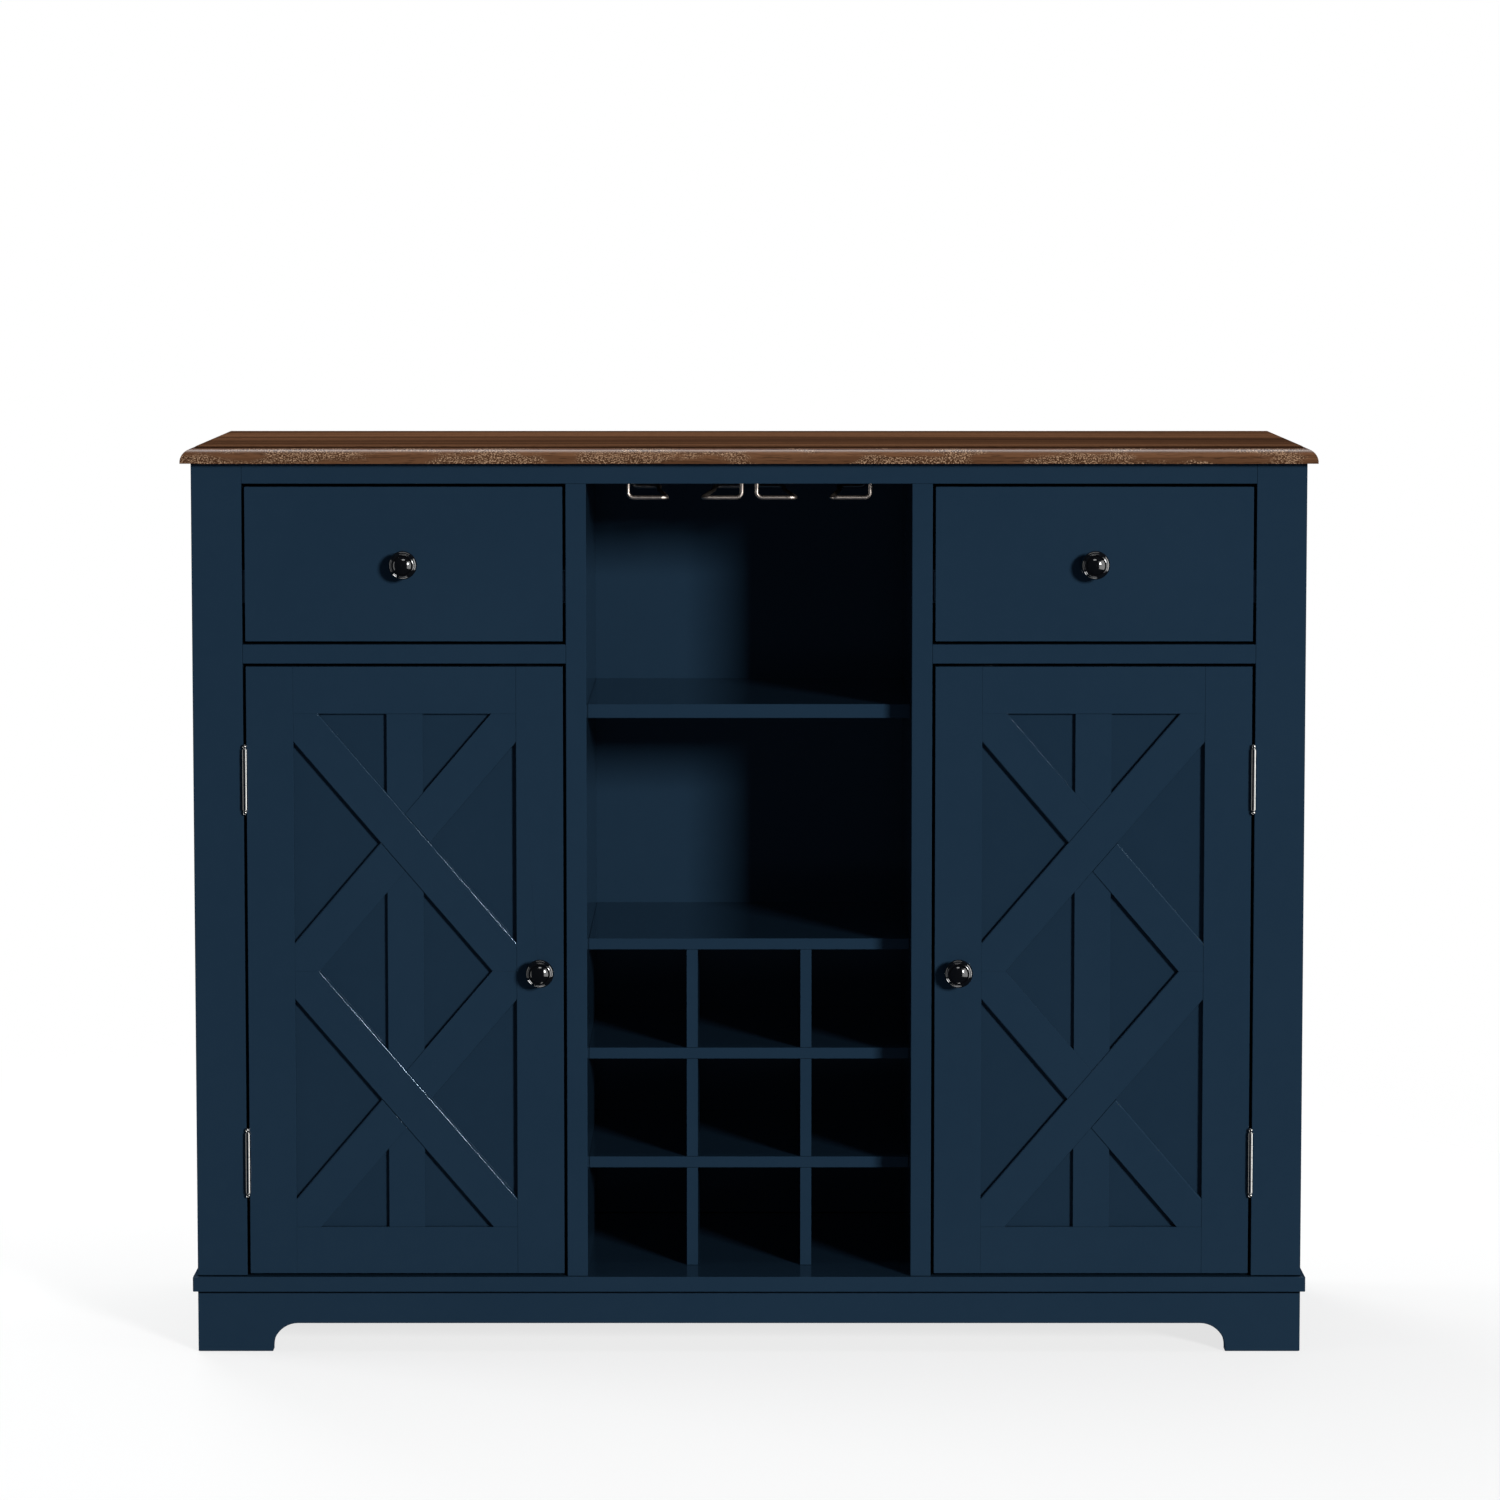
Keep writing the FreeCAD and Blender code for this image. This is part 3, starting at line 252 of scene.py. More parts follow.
# %% The white surround
FILL_LEVEL = 0.06
FILL_COLOUR = (0.7, 0.95, 1.25, 1.0)
DIM_LEVEL = 0.04
DIM_COLOUR = (0.45, 0.85, 1.5, 1.0)
WHITE = (1.0, 1.0, 1.0, 1.0)
BEHIND_RANGE = (-0.2, 0.5)
HIGH_UP_RANGE = (0.4, 0.8)

world = bpy.data.worlds.new("studio")
scene.world = world
world.use_nodes = True
surround = Finish(world.node_tree)


def ray(finish, kind):
    """1 for rays of this kind, and 0 for the others."""
    return finish.node("ShaderNodeLightPath", {}, {}, kind)


def seen_by_camera(finish):
    """1 for rays that come straight from the camera, or through something clear."""
    return finish.math("MAXIMUM", ray(finish, "Is Camera Ray"), ray(finish, "Is Transmission Ray"))


direction = surround.node("ShaderNodeTexCoord", {}, {}, "Generated")
behind = surround.limit(surround.along("Y", direction), *BEHIND_RANGE)
high_up = surround.limit(surround.along("Z", direction), *HIGH_UP_RANGE)
bright = behind * high_up
mirrored_level = DIM_LEVEL + (1 - DIM_LEVEL) * bright
seen = seen_by_camera(surround)
mirrored = ray(surround, "Is Glossy Ray")
level = seen + (1 - seen) * (mirrored * mirrored_level + (1 - mirrored) * FILL_LEVEL)
colour = surround.mix(mirrored, FILL_COLOUR, surround.mix(bright, DIM_COLOUR, WHITE))
colour = surround.mix(seen, colour, WHITE)
backdrop = surround.node("ShaderNodeBackground", {}, {"Color": colour, "Strength": level})
surround.node("ShaderNodeOutputWorld", {}, {"Surface": backdrop})
print(f"world: white backdrop, fill light {FILL_LEVEL}")

# %% [markdown]
# ## The floor
# A pale floor catches the shadow. A disc is enough for it, a hair below the feet so that no two faces lie
# in one plane. It casts no shadow itself, because some of the light for the knobs comes from below.

# %% Lay the floor
FLOOR_REACH = 2.4
FLOOR_SIDES = 96
FLOOR_DROP = 0.0004

floor_shape = bpy.data.meshes.new("floor")
sheet = bmesh.new()
bmesh.ops.create_circle(sheet, cap_ends=True, segments=FLOOR_SIDES, radius=FLOOR_REACH)
sheet.to_mesh(floor_shape)
sheet.free()
floor = link(bpy.data.objects.new("floor", floor_shape))
floor.location.z = -FLOOR_DROP
floor.visible_shadow = False
print(f"floor: {2 * FLOOR_REACH} m across")

# %% [markdown]
# Near the cabinet the floor is a plain matt surface, and further out it thins away into the white of the
# backdrop, so there is no horizon. Mirrored rays pass through it, and so does most of the light that it
# would throw back up: a white floor mirrored in so dark a paint looks like fog, and it would fill every
# shadow.

# %% Paint the floor
FLOOR_GREY = shade(244, 244, 243)
FLOOR_PALE = shade(250, 250, 249)
SPECKS_PER_METRE = 300.0
FLOOR_OWN_WHITE = 0.75
FLOOR_BOUNCE_LOST = 0.8
FLOOR_FADE = (0.8, 2.2)

floor_finish, pale = new_finish("pale_floor")
speckle = pale.noise(pale.place(), SPECKS_PER_METRE)
matt = pale.node("ShaderNodeBsdfDiffuse", {}, {"Color": pale.mix(speckle, FLOOR_GREY, FLOOR_PALE)})
white = pale.node("ShaderNodeEmission", {}, {"Color": WHITE, "Strength": 1.0})
clear = pale.node("ShaderNodeBsdfTransparent", {}, {})
own_white = seen_by_camera(pale) * FLOOR_OWN_WHITE
ground = pale.node("ShaderNodeMixShader", {}, {0: own_white, 1: matt, 2: white})
unseen = pale.math("MAXIMUM", ray(pale, "Is Glossy Ray"), ray(pale, "Is Diffuse Ray") * FLOOR_BOUNCE_LOST)
from_middle = pale.node("ShaderNodeVectorMath", {"operation": "LENGTH"}, {0: pale.place()}, "Value")
fade = pale.math("MAXIMUM", pale.limit(from_middle, *FLOOR_FADE), unseen)
faded = pale.node("ShaderNodeMixShader", {}, {0: fade, 1: ground, 2: clear})
pale.node("ShaderNodeOutputMaterial", {}, {"Surface": faded})
floor_shape.materials.append(floor_finish)
print(f"floor fades out from {FLOOR_FADE[0]} to {FLOOR_FADE[1]} m")

# %% [markdown]
# ## Lamps
# The shadows in the open bay fall to the left and slightly down, about half as far as the light travels
# in. That puts the main light to the right of the camera and only a little above it. One lamp overhead
# lights the top and draws the bright line along its moulded edge. Two more show the left side and the
# back when the camera walks round. A picture of a studio could light it all at once, but lamps can be set
# one by one. Only the one overhead is mirrored: the paint would show the others as hard white squares.

# %% Soft boxes
middle = (cad_low + cad_high) / 2


def soft_box(name, azimuth, elevation, distance, size, watts, lights=True, mirrored=True):
    """A lamp that faces the cabinet, placed by degrees: right of the camera, and up from the floor."""
    lamp = bpy.data.lights.new(name, "AREA")
    lamp.shape = "RECTANGLE"
    lamp.size, lamp.size_y = size
    lamp.energy = watts
    across, up = math.radians(azimuth), math.radians(elevation)
    away = Vector((math.sin(across) * math.cos(up), -math.cos(across) * math.cos(up), math.sin(up)))
    holder = link(bpy.data.objects.new(name, lamp))
    look_at(holder, middle + away * distance, middle)
    holder.visible_camera = False
    holder.visible_diffuse = lights
    holder.visible_glossy = mirrored
    print(f"{name}: {watts} W at {[round(side, 2) for side in holder.location]}")
    return holder


soft_box("key_lamp", azimuth=30, elevation=13.8, distance=14.0, size=(2.05, 2.05), watts=2200,
         mirrored=False)
soft_box("overhead_lamp", azimuth=0, elevation=99, distance=2.8, size=(2.4, 2.3), watts=62)
soft_box("left_lamp", azimuth=-105, elevation=18, distance=4.0, size=(1.6, 1.6), watts=60, mirrored=False)
soft_box("back_lamp", azimuth=205, elevation=26, distance=4.5, size=(1.8, 1.8), watts=100, mirrored=False)

# %% [markdown]
# ## Navy paint
# The cabinet is sprayed fibreboard in a deep satin navy. One flat colour would look like plastic, because
# sprayed paint is never quite even: it has a slow drift in tone, a sheen that varies with the coat, and a
# fine skin like orange peel. Three noises at three sizes make these, and every painted face shares them.

# %% One coat of paint
PAINT_LOW = shade(24, 42, 58)
PAINT_HIGH = shade(29, 47, 63)
PAINT_SHEEN = 0.13
SHEEN_SPREAD = 0.08
DRIFTS_PER_METRE = 5.0
CLOUDS_PER_METRE = 60.0
PEEL_PER_METRE = 900.0
CLOUD_SHARE = 0.35
CLOUD_IN_SKIN = 0.5
NOISE_AVERAGE = 0.5


def spray_coat(finish, place):
    """Colour, roughness and skin of the sprayed paint."""
    drift = finish.noise(place, DRIFTS_PER_METRE, detail=3.0)
    cloud = finish.noise(place, CLOUDS_PER_METRE, detail=3.0)
    peel = finish.noise(place, PEEL_PER_METRE, detail=1.0)
    colour = finish.mix(CLOUD_SHARE * cloud + (1 - CLOUD_SHARE) * drift, PAINT_LOW, PAINT_HIGH)
    roughness = PAINT_SHEEN + SHEEN_SPREAD * (cloud - NOISE_AVERAGE)
    return colour, roughness, peel + CLOUD_IN_SKIN * cloud


print(f"paint with a roughness of about {PAINT_SHEEN}")

# %% [markdown]
# Just above and below the lip of the base lies a fine band of shade. The lamps don't draw it, because the
# main light comes in almost along the line of sight. So the boards that meet the lip get a paint of their
# own
# with that shade painted in: dark between two heights. The door panels sit recessed behind their strips, and
# their paint gets painted shade too: it is mixed a little towards the dark all over.

# %% Mix the three paints
PAINT_SPECULAR = 0.5
# The dark colour of painted shade, its share on the recessed door panels, and how far the band of painted
# shade reaches below and above the lip.
PAINTED_SHADE_DARK = shade(2, 6, 11)
PANEL_RECESS_SHADE = 0.1
LIP_SHADE_BELOW = 0.0027
LIP_SHADE_ABOVE = 0.0012
SKIN_STRENGTH = 0.08
SKIN_HEIGHT = 0.0002


def make_navy_paint(name, joint=None, recess_shade=0.0):
    """The paint, with painted shade between two heights if they are given, and a share of it all over if
    that is given.
    """
    material, finish = new_finish(name)
    place = finish.place()
    colour, roughness, skin = spray_coat(finish, place)
    # Painted shade: dark in a band just under and over the lip.
    if joint:
        height = finish.along("Z", place)
        above_foot = finish.math("GREATER_THAN", height, joint[0])
        below_head = finish.math("LESS_THAN", height, joint[1])
        colour = finish.mix(above_foot * below_head, colour, PAINTED_SHADE_DARK)
    # Painted shade: the recessed door panels are mixed a share towards the dark.
    if recess_shade:
        colour = finish.mix(recess_shade, colour, PAINTED_SHADE_DARK)
    finish.principled({
        "Base Color": colour,
        "Roughness": roughness,
        "Specular IOR Level": PAINT_SPECULAR,
        "Normal": finish.bump(skin, SKIN_STRENGTH, SKIN_HEIGHT),
    })
    return material


lip_low, lip_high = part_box("bottom_panel")
lip_shade_heights = (lip_low.z - LIP_SHADE_BELOW, lip_high.z + LIP_SHADE_ABOVE)
finishes = {"navy_paint": make_navy_paint("navy_paint")}
# The first of these has a band of painted shade at the lip, the second painted shade all over its recessed
# panels.
lip_shade_paint = make_navy_paint("lip_shade_paint", joint=lip_shade_heights)
panel_shade_paint = make_navy_paint("panel_shade_paint", recess_shade=PANEL_RECESS_SHADE)
print(f"joint line between {lip_shade_heights[0]:.4f} and {lip_shade_heights[1]:.4f} m above the floor")

# %% [markdown]
# ## Thin board
# The back panels and drawer bottoms are thin fibreboard, painted on the face that shows inside and bare
# brown on the other. Two materials would have to be given out face by face. One can serve both sides
# instead: it asks on which side of the panel's middle a point lies.

# %% Board that is painted on one face
BOARD_DARK = shade(104, 80, 56)
BOARD_LIGHT = shade(140, 112, 82)
BOARD_FIBRES_PER_METRE = 700.0
BOARD_BLOTCHES_PER_METRE = 14.0
BOARD_FIBRE_SHARE = 0.6
BARE_ROUGHNESS = 0.85
BOARD_STRENGTH = 0.2


def make_thin_board(name, axis, painted_below, level):
    """Painted where the coordinate on axis is below (or above) level, and bare beyond it."""
    material, finish = new_finish(name)
    place = finish.place()
    paint, paint_roughness, skin = spray_coat(finish, place)
    fibre = finish.noise(place, BOARD_FIBRES_PER_METRE, detail=4.0, roughness=0.7)
    blotch = finish.noise(place, BOARD_BLOTCHES_PER_METRE, detail=3.0)
    brown = BOARD_FIBRE_SHARE * fibre + (1 - BOARD_FIBRE_SHARE) * blotch
    past = finish.math("GREATER_THAN", finish.along(axis, place), level)
    is_bare = past if painted_below else 1 - past
    finish.principled({
        "Base Color": finish.mix(is_bare, paint, finish.mix(brown, BOARD_DARK, BOARD_LIGHT)),
        "Roughness": paint_roughness * (1 - is_bare) + BARE_ROUGHNESS * is_bare,
        "Specular IOR Level": PAINT_SPECULAR,
        "Normal": finish.bump(skin * (1 - is_bare) + fibre * is_bare, BOARD_STRENGTH, SKIN_HEIGHT),
    })
    return material


def middle_of(node, axis):
    low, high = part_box(node)
    return (getattr(low, axis) + getattr(high, axis)) / 2


back_middle = middle_of("centre_back_panel", "y")
drawer_middle = middle_of("left_drawer_bottom", "z")
back_board = make_thin_board("back_board", "Y", True, back_middle)
drawer_board = make_thin_board("drawer_board", "Z", False, drawer_middle)
print(f"backs are bare behind y = {back_middle:.4f} m, drawer bottoms below z = {drawer_middle:.4f} m")

# %% [markdown]
# ## Walnut top
# The top is dark walnut with a long straight grain. A picture of wood would smear over the mouldings, so
# the grain is worked out from where a point lies in the board. At the ends of the top the moulding turns
# the corner at a mitre, and its grain runs front to back. There x and y are swapped before any pattern is
# drawn.

# %% Turn the grain at the mitres
RIM_WIDTH = 0.0155


def grain_place(finish, place, low, high):
    """Places on the top, with x and y swapped on the two end mouldings, and their height."""
    x, y, z = (finish.along(axis, place) for axis in "XYZ")
    from_end = high.x - finish.math("ABSOLUTE", x)
    from_front = y - low.y
    on_end = finish.math("LESS_THAN", from_end, finish.math("MINIMUM", from_front, RIM_WIDTH))
    turned = finish.node("ShaderNodeCombineXYZ", {}, {"X": y, "Y": x, "Z": z})
    return finish.choose(on_end, place, turned), z


top_low, top_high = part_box("top_panel")
print(f"grain turns within {1000 * RIM_WIDTH} mm of each end of a top {top_high.x - top_low.x:.3f} m long")

# %% [markdown]
# Broad bands of tone, growth rings that wander a little, and fine fibres make the figure. All of them are
# noises drawn out along the board, so one function makes them from their counts per metre along and
# across it. A ring deepens slowly and ends sharply, as a year's growth does.

# %% The figure of the wood
FIGURE = {"along": 0.7, "across": 22.0, "detail": 3.0, "roughness": 0.55}
FIGURE_RANGE = (0.34, 0.66)
FIGURE_SHARE = 0.36
BAND = {"along": 0.4, "across": 8.0, "detail": 2.0}
BAND_RANGE = (0.36, 0.64)
BAND_SHARE = 0.34
FIBRE = {"along": 4.0, "across": 420.0, "detail": 4.0, "roughness": 0.6}
FIBRE_SHARE = 0.4
WANDER = {"along": 0.8, "across": 5.0, "detail": 2.0}
RINGS_PER_METRE = 70.0
RING_SLANT = 0.8
RING_WANDER = 6.0
RING_DEPTH = 0.14
RING_DEEPENS = (0.35, 0.95)
RING_ENDS = (0.0, 0.06)


def streaks(finish, grain, along, across, detail, roughness=0.5):
    """A noise drawn out along the board."""
    return finish.noise(finish.stretch(grain, (along, across, across)), 1.0, detail, roughness)


def late_wood(finish, grain):
    """The dark part of each growth ring."""
    across = finish.along("Y", grain) + RING_SLANT * finish.along("Z", grain)
    wander = streaks(finish, grain, **WANDER)
    ring = finish.math("FRACT", RINGS_PER_METRE * across + RING_WANDER * wander)
    return finish.limit(ring, *RING_DEEPENS) * finish.limit(1 - ring, *RING_ENDS)


def wood_tone(finish, grain, fibre):
    """How light the wood is, from about 0 to 1."""
    figure = finish.limit(streaks(finish, grain, **FIGURE), *FIGURE_RANGE)
    band = finish.limit(streaks(finish, grain, **BAND), *BAND_RANGE)
    tone = FIGURE_SHARE * figure + BAND_SHARE * band + FIBRE_SHARE * fibre
    return tone - RING_DEPTH * late_wood(finish, grain)


print(f"walnut with {RINGS_PER_METRE:.0f} growth rings to the metre")

# %% [markdown]
# The moulded rim starts with a groove, which joiners call a quirk. It gets painted shade, and below it the
# cutter has opened the grain, which shows as pale flecks in patches. The rim past the quirk is painted
# paler, as painted light. The shoulder under the quirk keeps its lacquer, because no hand wears it. All this
# follows from how far a point lies below the flat, so the drop is measured once and passed on.

# %% The marks of the moulding
QUIRK_DROP = 0.0020
QUIRK_STARTS = (0.15 * QUIRK_DROP, 0.4 * QUIRK_DROP)
QUIRK_ENDS = (QUIRK_DROP, 1.3 * QUIRK_DROP)
SHINE_DROP = 0.0056
SHINE_ENDS = (0.8 * SHINE_DROP, 1.2 * SHINE_DROP)
PATCH = {"along": 13.0, "across": 50.0, "detail": 2.0}
PATCH_RANGE = (0.46, 0.56)
FLECK = {"along": 650.0, "across": 1100.0, "detail": 1.0}
FLECK_RANGE = (0.52, 0.62)


def rim_marks(finish, grain, drop):
    """Where the wood is past the quirk, in it, opened by the cutter, flecked, and shiny."""
    past_quirk = finish.limit(drop, *QUIRK_ENDS)
    in_quirk = finish.limit(drop, *QUIRK_STARTS) * (1 - past_quirk)
    opened = finish.limit(streaks(finish, grain, **PATCH), *PATCH_RANGE) * past_quirk
    flecked = finish.limit(streaks(finish, grain, **FLECK), *FLECK_RANGE) * opened
    shiny = past_quirk * (1 - finish.limit(drop, *SHINE_ENDS))
    return past_quirk, in_quirk, opened, flecked, shiny


print(f"quirk to {1000 * QUIRK_DROP} mm below the flat, shine to {1000 * SHINE_DROP} mm")

# %% [markdown]
# The colours go on one after another: the wood's own tone first, made paler on the rim as painted light,
# then the dark pores that lie along the grain, then the cutter's flecks, and painted shade in the quirk
# last. A ramp turns the tone into brown, so that dark and light wood differ in hue too. The flat has lost
# most of its lacquer to use.

# %% Mix the walnut
WALNUT_DARK = shade(38, 23, 14)
WALNUT_MIDDLE = shade(69, 45, 29)
WALNUT_LIGHT = shade(104, 72, 50)
WALNUT_FLECK = shade(170, 138, 110)
# The colour of painted shade in the quirk.
WALNUT_QUIRK_SHADE = shade(24, 13, 8)
WALNUT_STOPS = [(0.12, WALNUT_DARK), (0.5, WALNUT_MIDDLE), (0.95, WALNUT_LIGHT)]
PORE = {"along": 60.0, "across": 1400.0, "detail": 1.0}
PORE_RANGE = (0.58, 0.7)
PORE_DARKNESS = 0.7
# How much paler the rim past the quirk is painted, as painted light.
RIM_PAINTED_LIGHT = 0.1
OPENED_DARKNESS = 0.45
FLECK_PALENESS = 0.8
# How far the quirk is mixed towards that colour, as painted shade.
QUIRK_SHADE_DARKNESS = 0.75
WALNUT_ROUGHNESS = 0.4
FIBRE_ROUGHNESS = 0.1
WALNUT_SPECULAR = 0.0
LACQUER_ON_FLAT = 0.03
LACQUER_ON_RIM = 0.7
LACQUER_ROUGHNESS = 0.16
LACQUER_IOR = 1.5
PORE_DEPTH = 0.6
GRAIN_STRENGTH = 0.12
GRAIN_HEIGHT = 0.0002


def make_walnut():
    material, finish = new_finish("walnut_top")
    grain, height = grain_place(finish, finish.place(), top_low, top_high)
    past_quirk, in_quirk, opened, flecked, shiny = rim_marks(finish, grain, top_high.z - height)
    fibre = streaks(finish, grain, **FIBRE)
    pore = finish.limit(streaks(finish, grain, **PORE), *PORE_RANGE)
    # Painted light: the rim past the quirk is made paler.
    tone = wood_tone(finish, grain, fibre) + RIM_PAINTED_LIGHT * past_quirk
    colour = finish.node("ShaderNodeValToRGB", {"stops": WALNUT_STOPS}, {"Fac": tone})
    colour = finish.mix(PORE_DARKNESS * pore, colour, WALNUT_DARK)
    colour = finish.mix(OPENED_DARKNESS * opened, colour, WALNUT_DARK)
    colour = finish.mix(FLECK_PALENESS * flecked, colour, WALNUT_FLECK)
    # Painted shade: the quirk is darkened.
    colour = finish.mix(QUIRK_SHADE_DARKNESS * in_quirk, colour, WALNUT_QUIRK_SHADE)
    finish.principled({
        "Base Color": colour,
        "Roughness": WALNUT_ROUGHNESS + FIBRE_ROUGHNESS * fibre,
        "Specular IOR Level": WALNUT_SPECULAR,
        "Coat Weight": LACQUER_ON_FLAT + (LACQUER_ON_RIM - LACQUER_ON_FLAT) * shiny,
        "Coat Roughness": LACQUER_ROUGHNESS,
        "Coat IOR": LACQUER_IOR,
        "Normal": finish.bump(fibre - PORE_DEPTH * pore, GRAIN_STRENGTH, GRAIN_HEIGHT),
    })
    return material


finishes["walnut_top"] = make_walnut()
print(f"walnut: {len(finishes['walnut_top'].node_tree.nodes)} nodes")

# %% [markdown]
# ## Metal and plastic
# The knobs are black enamel, polished enough to mirror the lamps. Hinges are black nickel, the stemware
# wire is dark bronze, and the hidden steel is zinc plated. Perfectly even metal looks unreal, so each has
# faint wear in its sheen and fine streaks along the piece. They differ only in a few values, and one
# function makes them all.

# %% One recipe for metal
BLOTCHES_PER_METRE = 150.0
BLOTCH_SHARE = 0.6
LEAST_SHEEN = 0.7
SHEEN_WEAR = 0.3
BRUSHED = 0.45
STREAK_HEIGHT = 0.0001


def make_metal(name, dark, light, metallic, roughness, streak, bump=0.0, brushed_behind=None):
    """A coated or plated metal: tone and sheen drift with a blotch, and fine streaks run along the piece.

    Behind a given depth the metal is brushed. That shows on hinge leaves, but not on their polished
    barrels.
    """
    material, finish = new_finish(name)
    place = finish.place()
    blotch = finish.noise(place, BLOTCHES_PER_METRE, detail=3.0)
    line = finish.noise(finish.stretch(place, streak), 1.0, detail=3.0)
    sheen = roughness
    if brushed_behind is not None:
        brushed = finish.math("GREATER_THAN", finish.along("Y", place), brushed_behind)
        sheen = roughness + (BRUSHED - roughness) * brushed
    inputs = {
        "Base Color": finish.mix(BLOTCH_SHARE * blotch + (1 - BLOTCH_SHARE) * line, dark, light),
        "Metallic": metallic,
        "Roughness": sheen * (LEAST_SHEEN + SHEEN_WEAR * line + SHEEN_WEAR * blotch),
    }
    if bump:
        inputs["Normal"] = finish.bump(line, bump, STREAK_HEIGHT)
    finish.principled(inputs)
    print(f"{name}: roughness about {roughness}")
    return material


# %% [markdown]
# Streaks run the way that each piece was drawn or rolled: upright on hinges, front to back on slides, and
# no way at all on knobs and wire. So a streak is a stretch of the noise, in turns per metre along x, y
# and z.

# %% Mix the metals
EVEN = (500.0, 500.0, 500.0)
UPRIGHT = (900.0, 900.0, 40.0)
FRONT_TO_BACK = (900.0, 40.0, 900.0)

finishes["gloss_black"] = make_metal(
    "gloss_black", dark=shade(6, 6, 7), light=shade(12, 11, 11),
    metallic=0.0, roughness=0.07, streak=EVEN)
finishes["nickel"] = make_metal(
    "nickel", dark=shade(92, 92, 91), light=shade(106, 105, 103),
    metallic=1.0, roughness=0.08, streak=UPRIGHT, brushed_behind=face_y)
finishes["bronze_wire"] = make_metal(
    "bronze_wire", dark=shade(156, 145, 136), light=shade(188, 177, 168),
    metallic=1.0, roughness=0.4, streak=EVEN)
finishes["zinc_steel"] = make_metal(
    "zinc_steel", dark=shade(160, 163, 165), light=shade(196, 197, 196),
    metallic=1.0, roughness=0.34, streak=FRONT_TO_BACK, bump=0.05)
finishes["catch_plastic"] = make_metal(
    "catch_plastic", dark=shade(40, 33, 29), light=shade(52, 44, 39),
    metallic=0.0, roughness=0.48, streak=EVEN, bump=0.05)

# %% [markdown]
# ## Boards that touch
# Door frames, door strips and drawer boxes come with several touching boards to a piece. On the real ones
# each board is eased before it is glued, which leaves a fine line at every joint. A Bevel over the whole
# piece would miss those lines, so the boards are taken apart first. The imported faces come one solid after
# another, and a solid is whole when each of its edges has met its twin.

# %% Take the boards apart
TOUCHING = ("door_frame", "door_braces", "door_mullion", "drawer_walls")
MICRON = 1e-6


def kind_of(node):
    """The node's name without its side."""
    return node.removeprefix("left_").removeprefix("right_")


def closed_solids(mesh):
    """The corners of each face, in whole microns, grouped by solid. Faces that never close stay together."""
    places = [tuple(round(side / MICRON) for side in vertex.co) for vertex in mesh.vertices]
    solids, faces, open_edges = [], [], set()
    for polygon in mesh.polygons:
        corners = [places[number] for number in polygon.vertices]
        faces.append(corners)
        for edge in zip(corners, corners[1:] + corners[:1]):
            open_edges ^= {frozenset(edge)}
        if not open_edges:
            solids.append(faces)
            faces = []
    if faces:
        solids.append(faces)
    return solids


solids_of = {name: closed_solids(nodes[name].data) for name in nodes if kind_of(name) in TOUCHING}
print(f"{sum(len(solids) for solids in solids_of.values())} boards in {len(solids_of)} pieces")

# %% [markdown]
# A joiner eases the long edges of a board and leaves its cut ends almost sharp, or the joints would gape.
# A Bevel can follow a weight on each edge, so the long ones get all of it and those at a joint only a
# part.

# %% Weigh the edges
LONG_EDGE = 0.07
SHARP_ANGLE = 0.6
JOINT_SHARE = 0.25


def weigh_edges(shape):
    """Marks how far each edge is eased. Returns how many are."""
    work = bmesh.new()
    work.from_mesh(shape)
    weight = work.edges.layers.float.new("bevel_weight_edge")
    sharp = [edge for edge in work.edges if edge.calc_face_angle(0.0) > SHARP_ANGLE]
    for edge in sharp:
        edge[weight] = 1.0 if edge.calc_length() > LONG_EDGE else JOINT_SHARE
    count = len(sharp)
    work.to_mesh(shape)
    work.free()
    return count


print(f"edges over {LONG_EDGE} m are eased fully, shorter ones by {JOINT_SHARE} of that")

# %% [markdown]
# Each of these pieces is then built again from its closed boards. It rides on the body of the packed
# piece, takes the same finish and stands in for it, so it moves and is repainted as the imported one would
# be.

# %% Build the boards again
record = frame["record"]
slot_of = {part["node"]: part["material_slot"] for part in record["subparts"]}
body_of = {node: body for body, group in record["behaviour"]["bodies"].items() for node in group}


def rebuild_boards(node, solids):
    """A piece like the node, but with every board closed in itself."""
    spots, faces = [], []
    for solid in solids:
        numbers = {}
        for corners in solid:
            for corner in corners:
                if corner not in numbers:
                    numbers[corner] = len(spots)
                    spots.append([side * MICRON for side in corner])
            faces.append([numbers[corner] for corner in corners])
    shape = bpy.data.meshes.new(node + "_boards")
    shape.from_pydata(spots, [], faces)
    shape.shade_smooth()
    edges = weigh_edges(shape)
    piece = link(bpy.data.objects.new(node + "_boards", shape))
    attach(piece, body_of[node])
    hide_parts(node)
    print(f"{piece.name}: {len(solids)} boards with {edges} sharp edges")
    return piece


boards = {name: rebuild_boards(name, solids) for name, solids in solids_of.items()}

# %% [markdown]
# ## Hand the finishes out
# The imported record says which finish each piece takes, so nothing has to be picked by hand. Three kinds
# of piece go their own way. Boards that meet the lip take the paint with a band of painted shade, door
# panels take the paint darkened as painted shade of their recess, and back panels and drawer bottoms share a
# slot but are bare on different sides.

# %% Dress every piece
MEETS_LIP = ("front_skirt", "side_skirts", "outer_stiles", "side_panel")


def dress(piece, material):
    for slot in piece.material_slots:
        slot.material = material
    if not piece.material_slots:
        piece.data.materials.append(material)


def finish_for(node):
    # Painted shade goes on the boards at the lip and on the recessed door panels.
    if kind_of(node) in MEETS_LIP:
        return lip_shade_paint
    if kind_of(node) == "door_panel":
        return panel_shade_paint
    if slot_of[node] != "bare_board":
        return finishes[slot_of[node]]
    return back_board if "back" in node else drawer_board


for name, piece in list(nodes.items()) + list(boards.items()):
    dress(piece, finish_for(name))
print(f"{len(nodes)} pieces dressed in {len({finish_for(name) for name in nodes})} finishes")

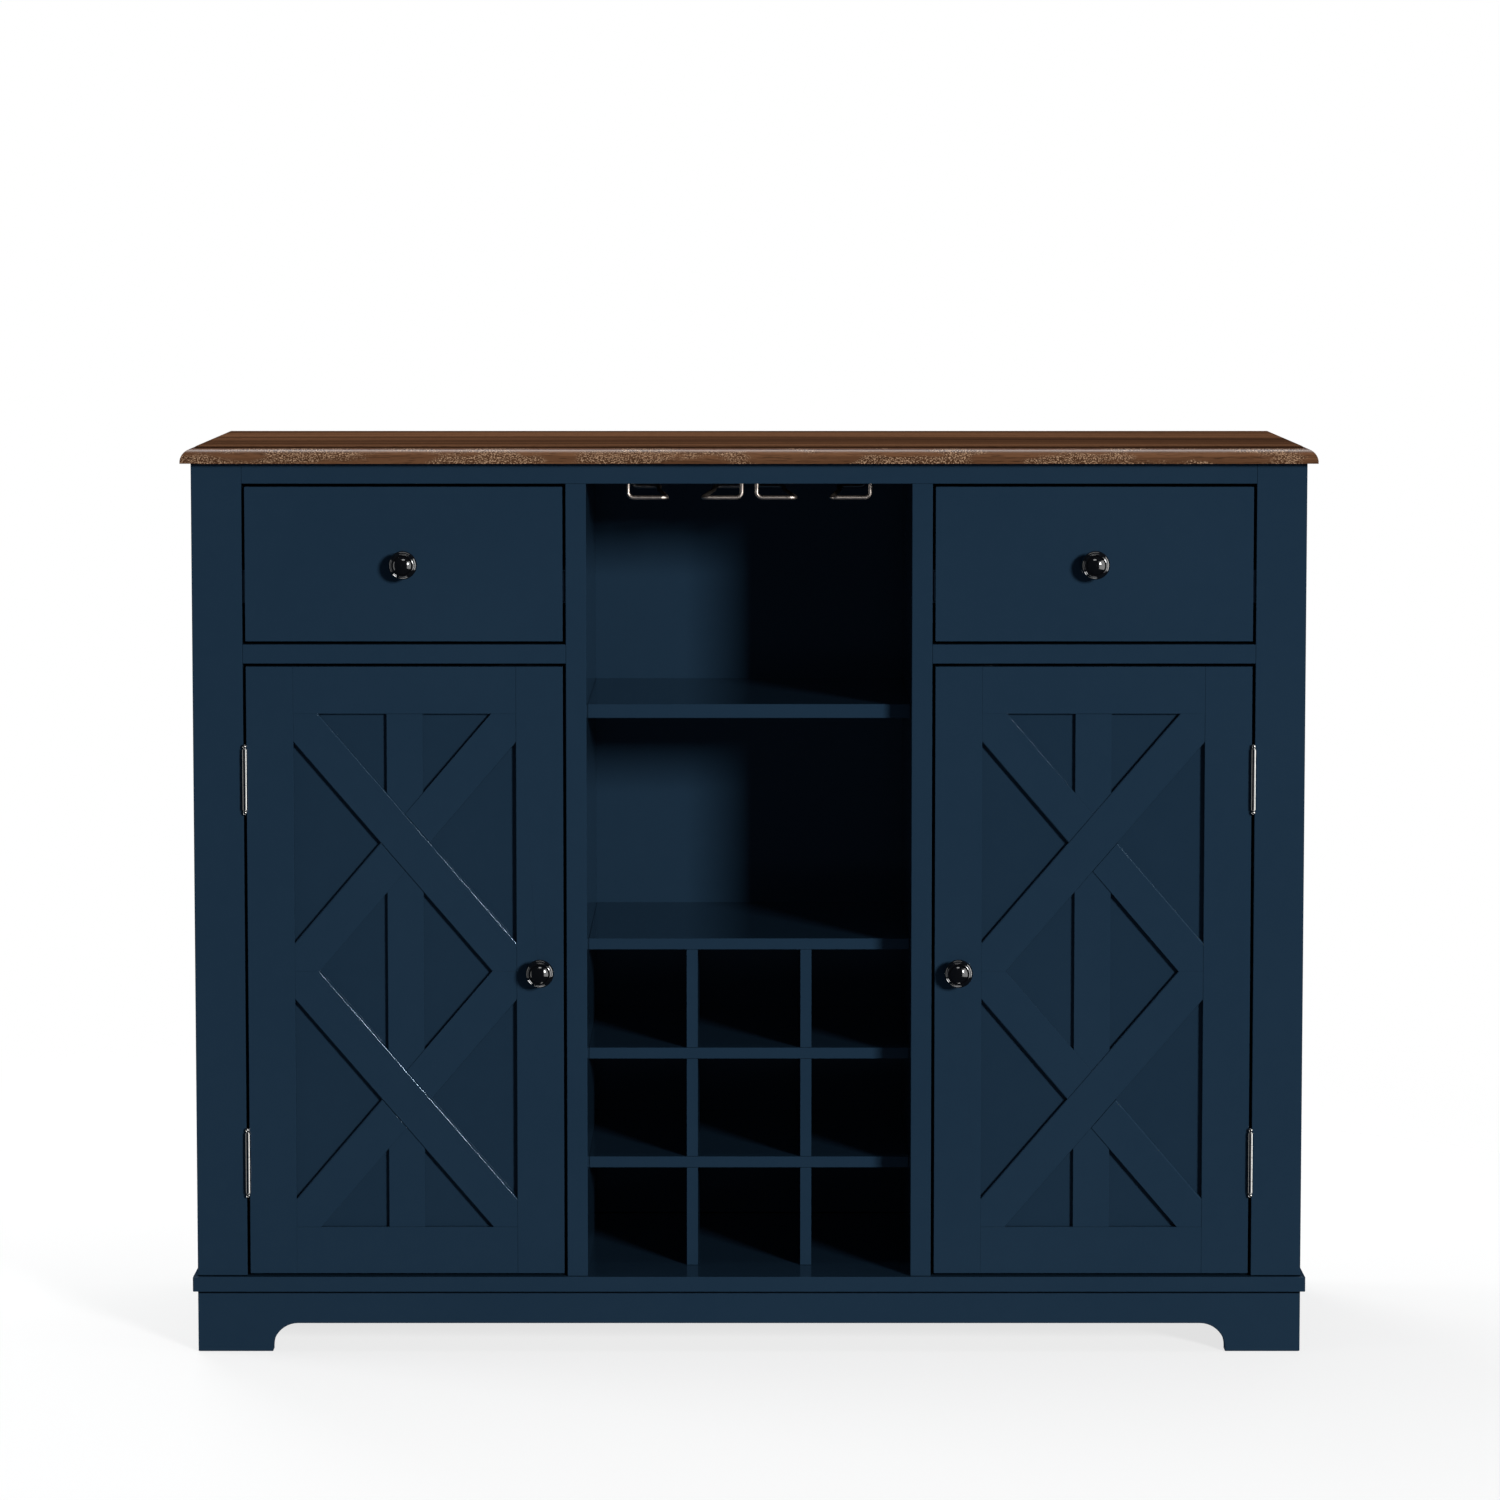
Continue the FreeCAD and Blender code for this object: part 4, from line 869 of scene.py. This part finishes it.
# %% [markdown]
# ## Eased edges
# No painted board has a knife edge: sanding leaves a small round that catches a line of light. The rounds
# could be cut into the joinery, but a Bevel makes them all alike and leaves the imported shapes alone.
# Those come with their faces unjoined, so a Weld joins them first. The rebuilt boards are joined already,
# and follow the weights of their edges.

# %% Round the boards
EASE = 0.0008
EASE_OF = {"door_braces": 0.0020, "door_mullion": 0.0005, "door_frame": 0.0006, "top_panel": 0.0004}
EASE_STEPS = 4
EASED_SLOTS = ("navy_paint", "bare_board", "walnut_top")
WELD_WITHIN = 0.00002


def ease_edges(piece, width, weighted):
    if not weighted:
        weld = piece.modifiers.new("join_faces", "WELD")
        weld.merge_threshold = WELD_WITHIN
    bevel = piece.modifiers.new("ease_edges", "BEVEL")
    bevel.width = width
    bevel.segments = EASE_STEPS
    bevel.limit_method = "WEIGHT" if weighted else "ANGLE"
    bevel.angle_limit = SHARP_ANGLE
    bevel.harden_normals = weighted


eased = [name for name in nodes if slot_of[name] in EASED_SLOTS]
for name in eased:
    ease_edges(boards.get(name, nodes[name]), EASE_OF.get(kind_of(name), EASE), name in boards)
print(f"{len(eased)} pieces have eased edges")

# %% [markdown]
# ## Boards for the shiny pieces
# Small polished pieces are drawn by what they mirror. Photographers stand pale boards round a knob to
# give it bands and arcs, and flag them off so that nothing else catches them. Light linking does the
# flagging: each board below is mirrored by the hardware, by the steel or by the slanting door strips
# alone, and lights nothing.


# %% Flag a board off
def board_for(pieces, name, **placing):
    """A board that only these pieces mirror."""
    holder = soft_box(name, lights=False, **placing)
    viewers = bpy.data.collections.new(name + "_viewers")
    for piece in pieces:
        viewers.objects.link(piece)
    holder.light_linking.receiver_collection = viewers
    return holder


hardware = [nodes[name] for name in nodes if slot_of[name] in ("gloss_black", "nickel")]
steel = [nodes[name] for name in nodes if slot_of[name] in ("bronze_wire", "zinc_steel")]
strips = [piece for name, piece in boards.items() if kind_of(name) == "door_braces"]
print(f"{len(hardware)} pieces of hardware, {len(steel)} of steel and {len(strips)} of strips mirror boards")

# %% [markdown]
# On a real knob each glint can be traced back to a board. The bright spot and the wide board stand on the
# right, where the main light is, and the others answer them from the left, from above and from below. The
# slanting strips have one small cool board of their own, which draws a thin light line along their eased
# edges.

# %% Stand the boards
COOL = (0.62, 0.83, 1.0)

metal = hardware + steel
board_for(metal, "bright_spot", azimuth=36, elevation=14, distance=6.0, size=(0.7, 1.1), watts=400)
board_for(metal, "right_board", azimuth=56, elevation=5, distance=4.2, size=(4.4, 4.0), watts=250)
board_for(hardware, "right_strip", azimuth=76, elevation=8, distance=3.6, size=(0.5, 4.0), watts=100)
board_for(metal, "left_board", azimuth=-70, elevation=0, distance=4.0, size=(1.3, 3.4), watts=32)
board_for(hardware, "upper_board", azimuth=0, elevation=42, distance=4.0, size=(1.2, 0.5), watts=14)
board_for(hardware, "lower_board", azimuth=-30, elevation=-80, distance=3.0, size=(2.4, 0.9), watts=40)
board_for(hardware, "corner_board", azimuth=-78, elevation=-42, distance=3.0, size=(0.8, 0.9), watts=75)
edge_board = board_for(strips, "edge_board", azimuth=36, elevation=22, distance=5.0, size=(0.4, 0.4),
                       watts=150)
edge_board.data.color = COOL
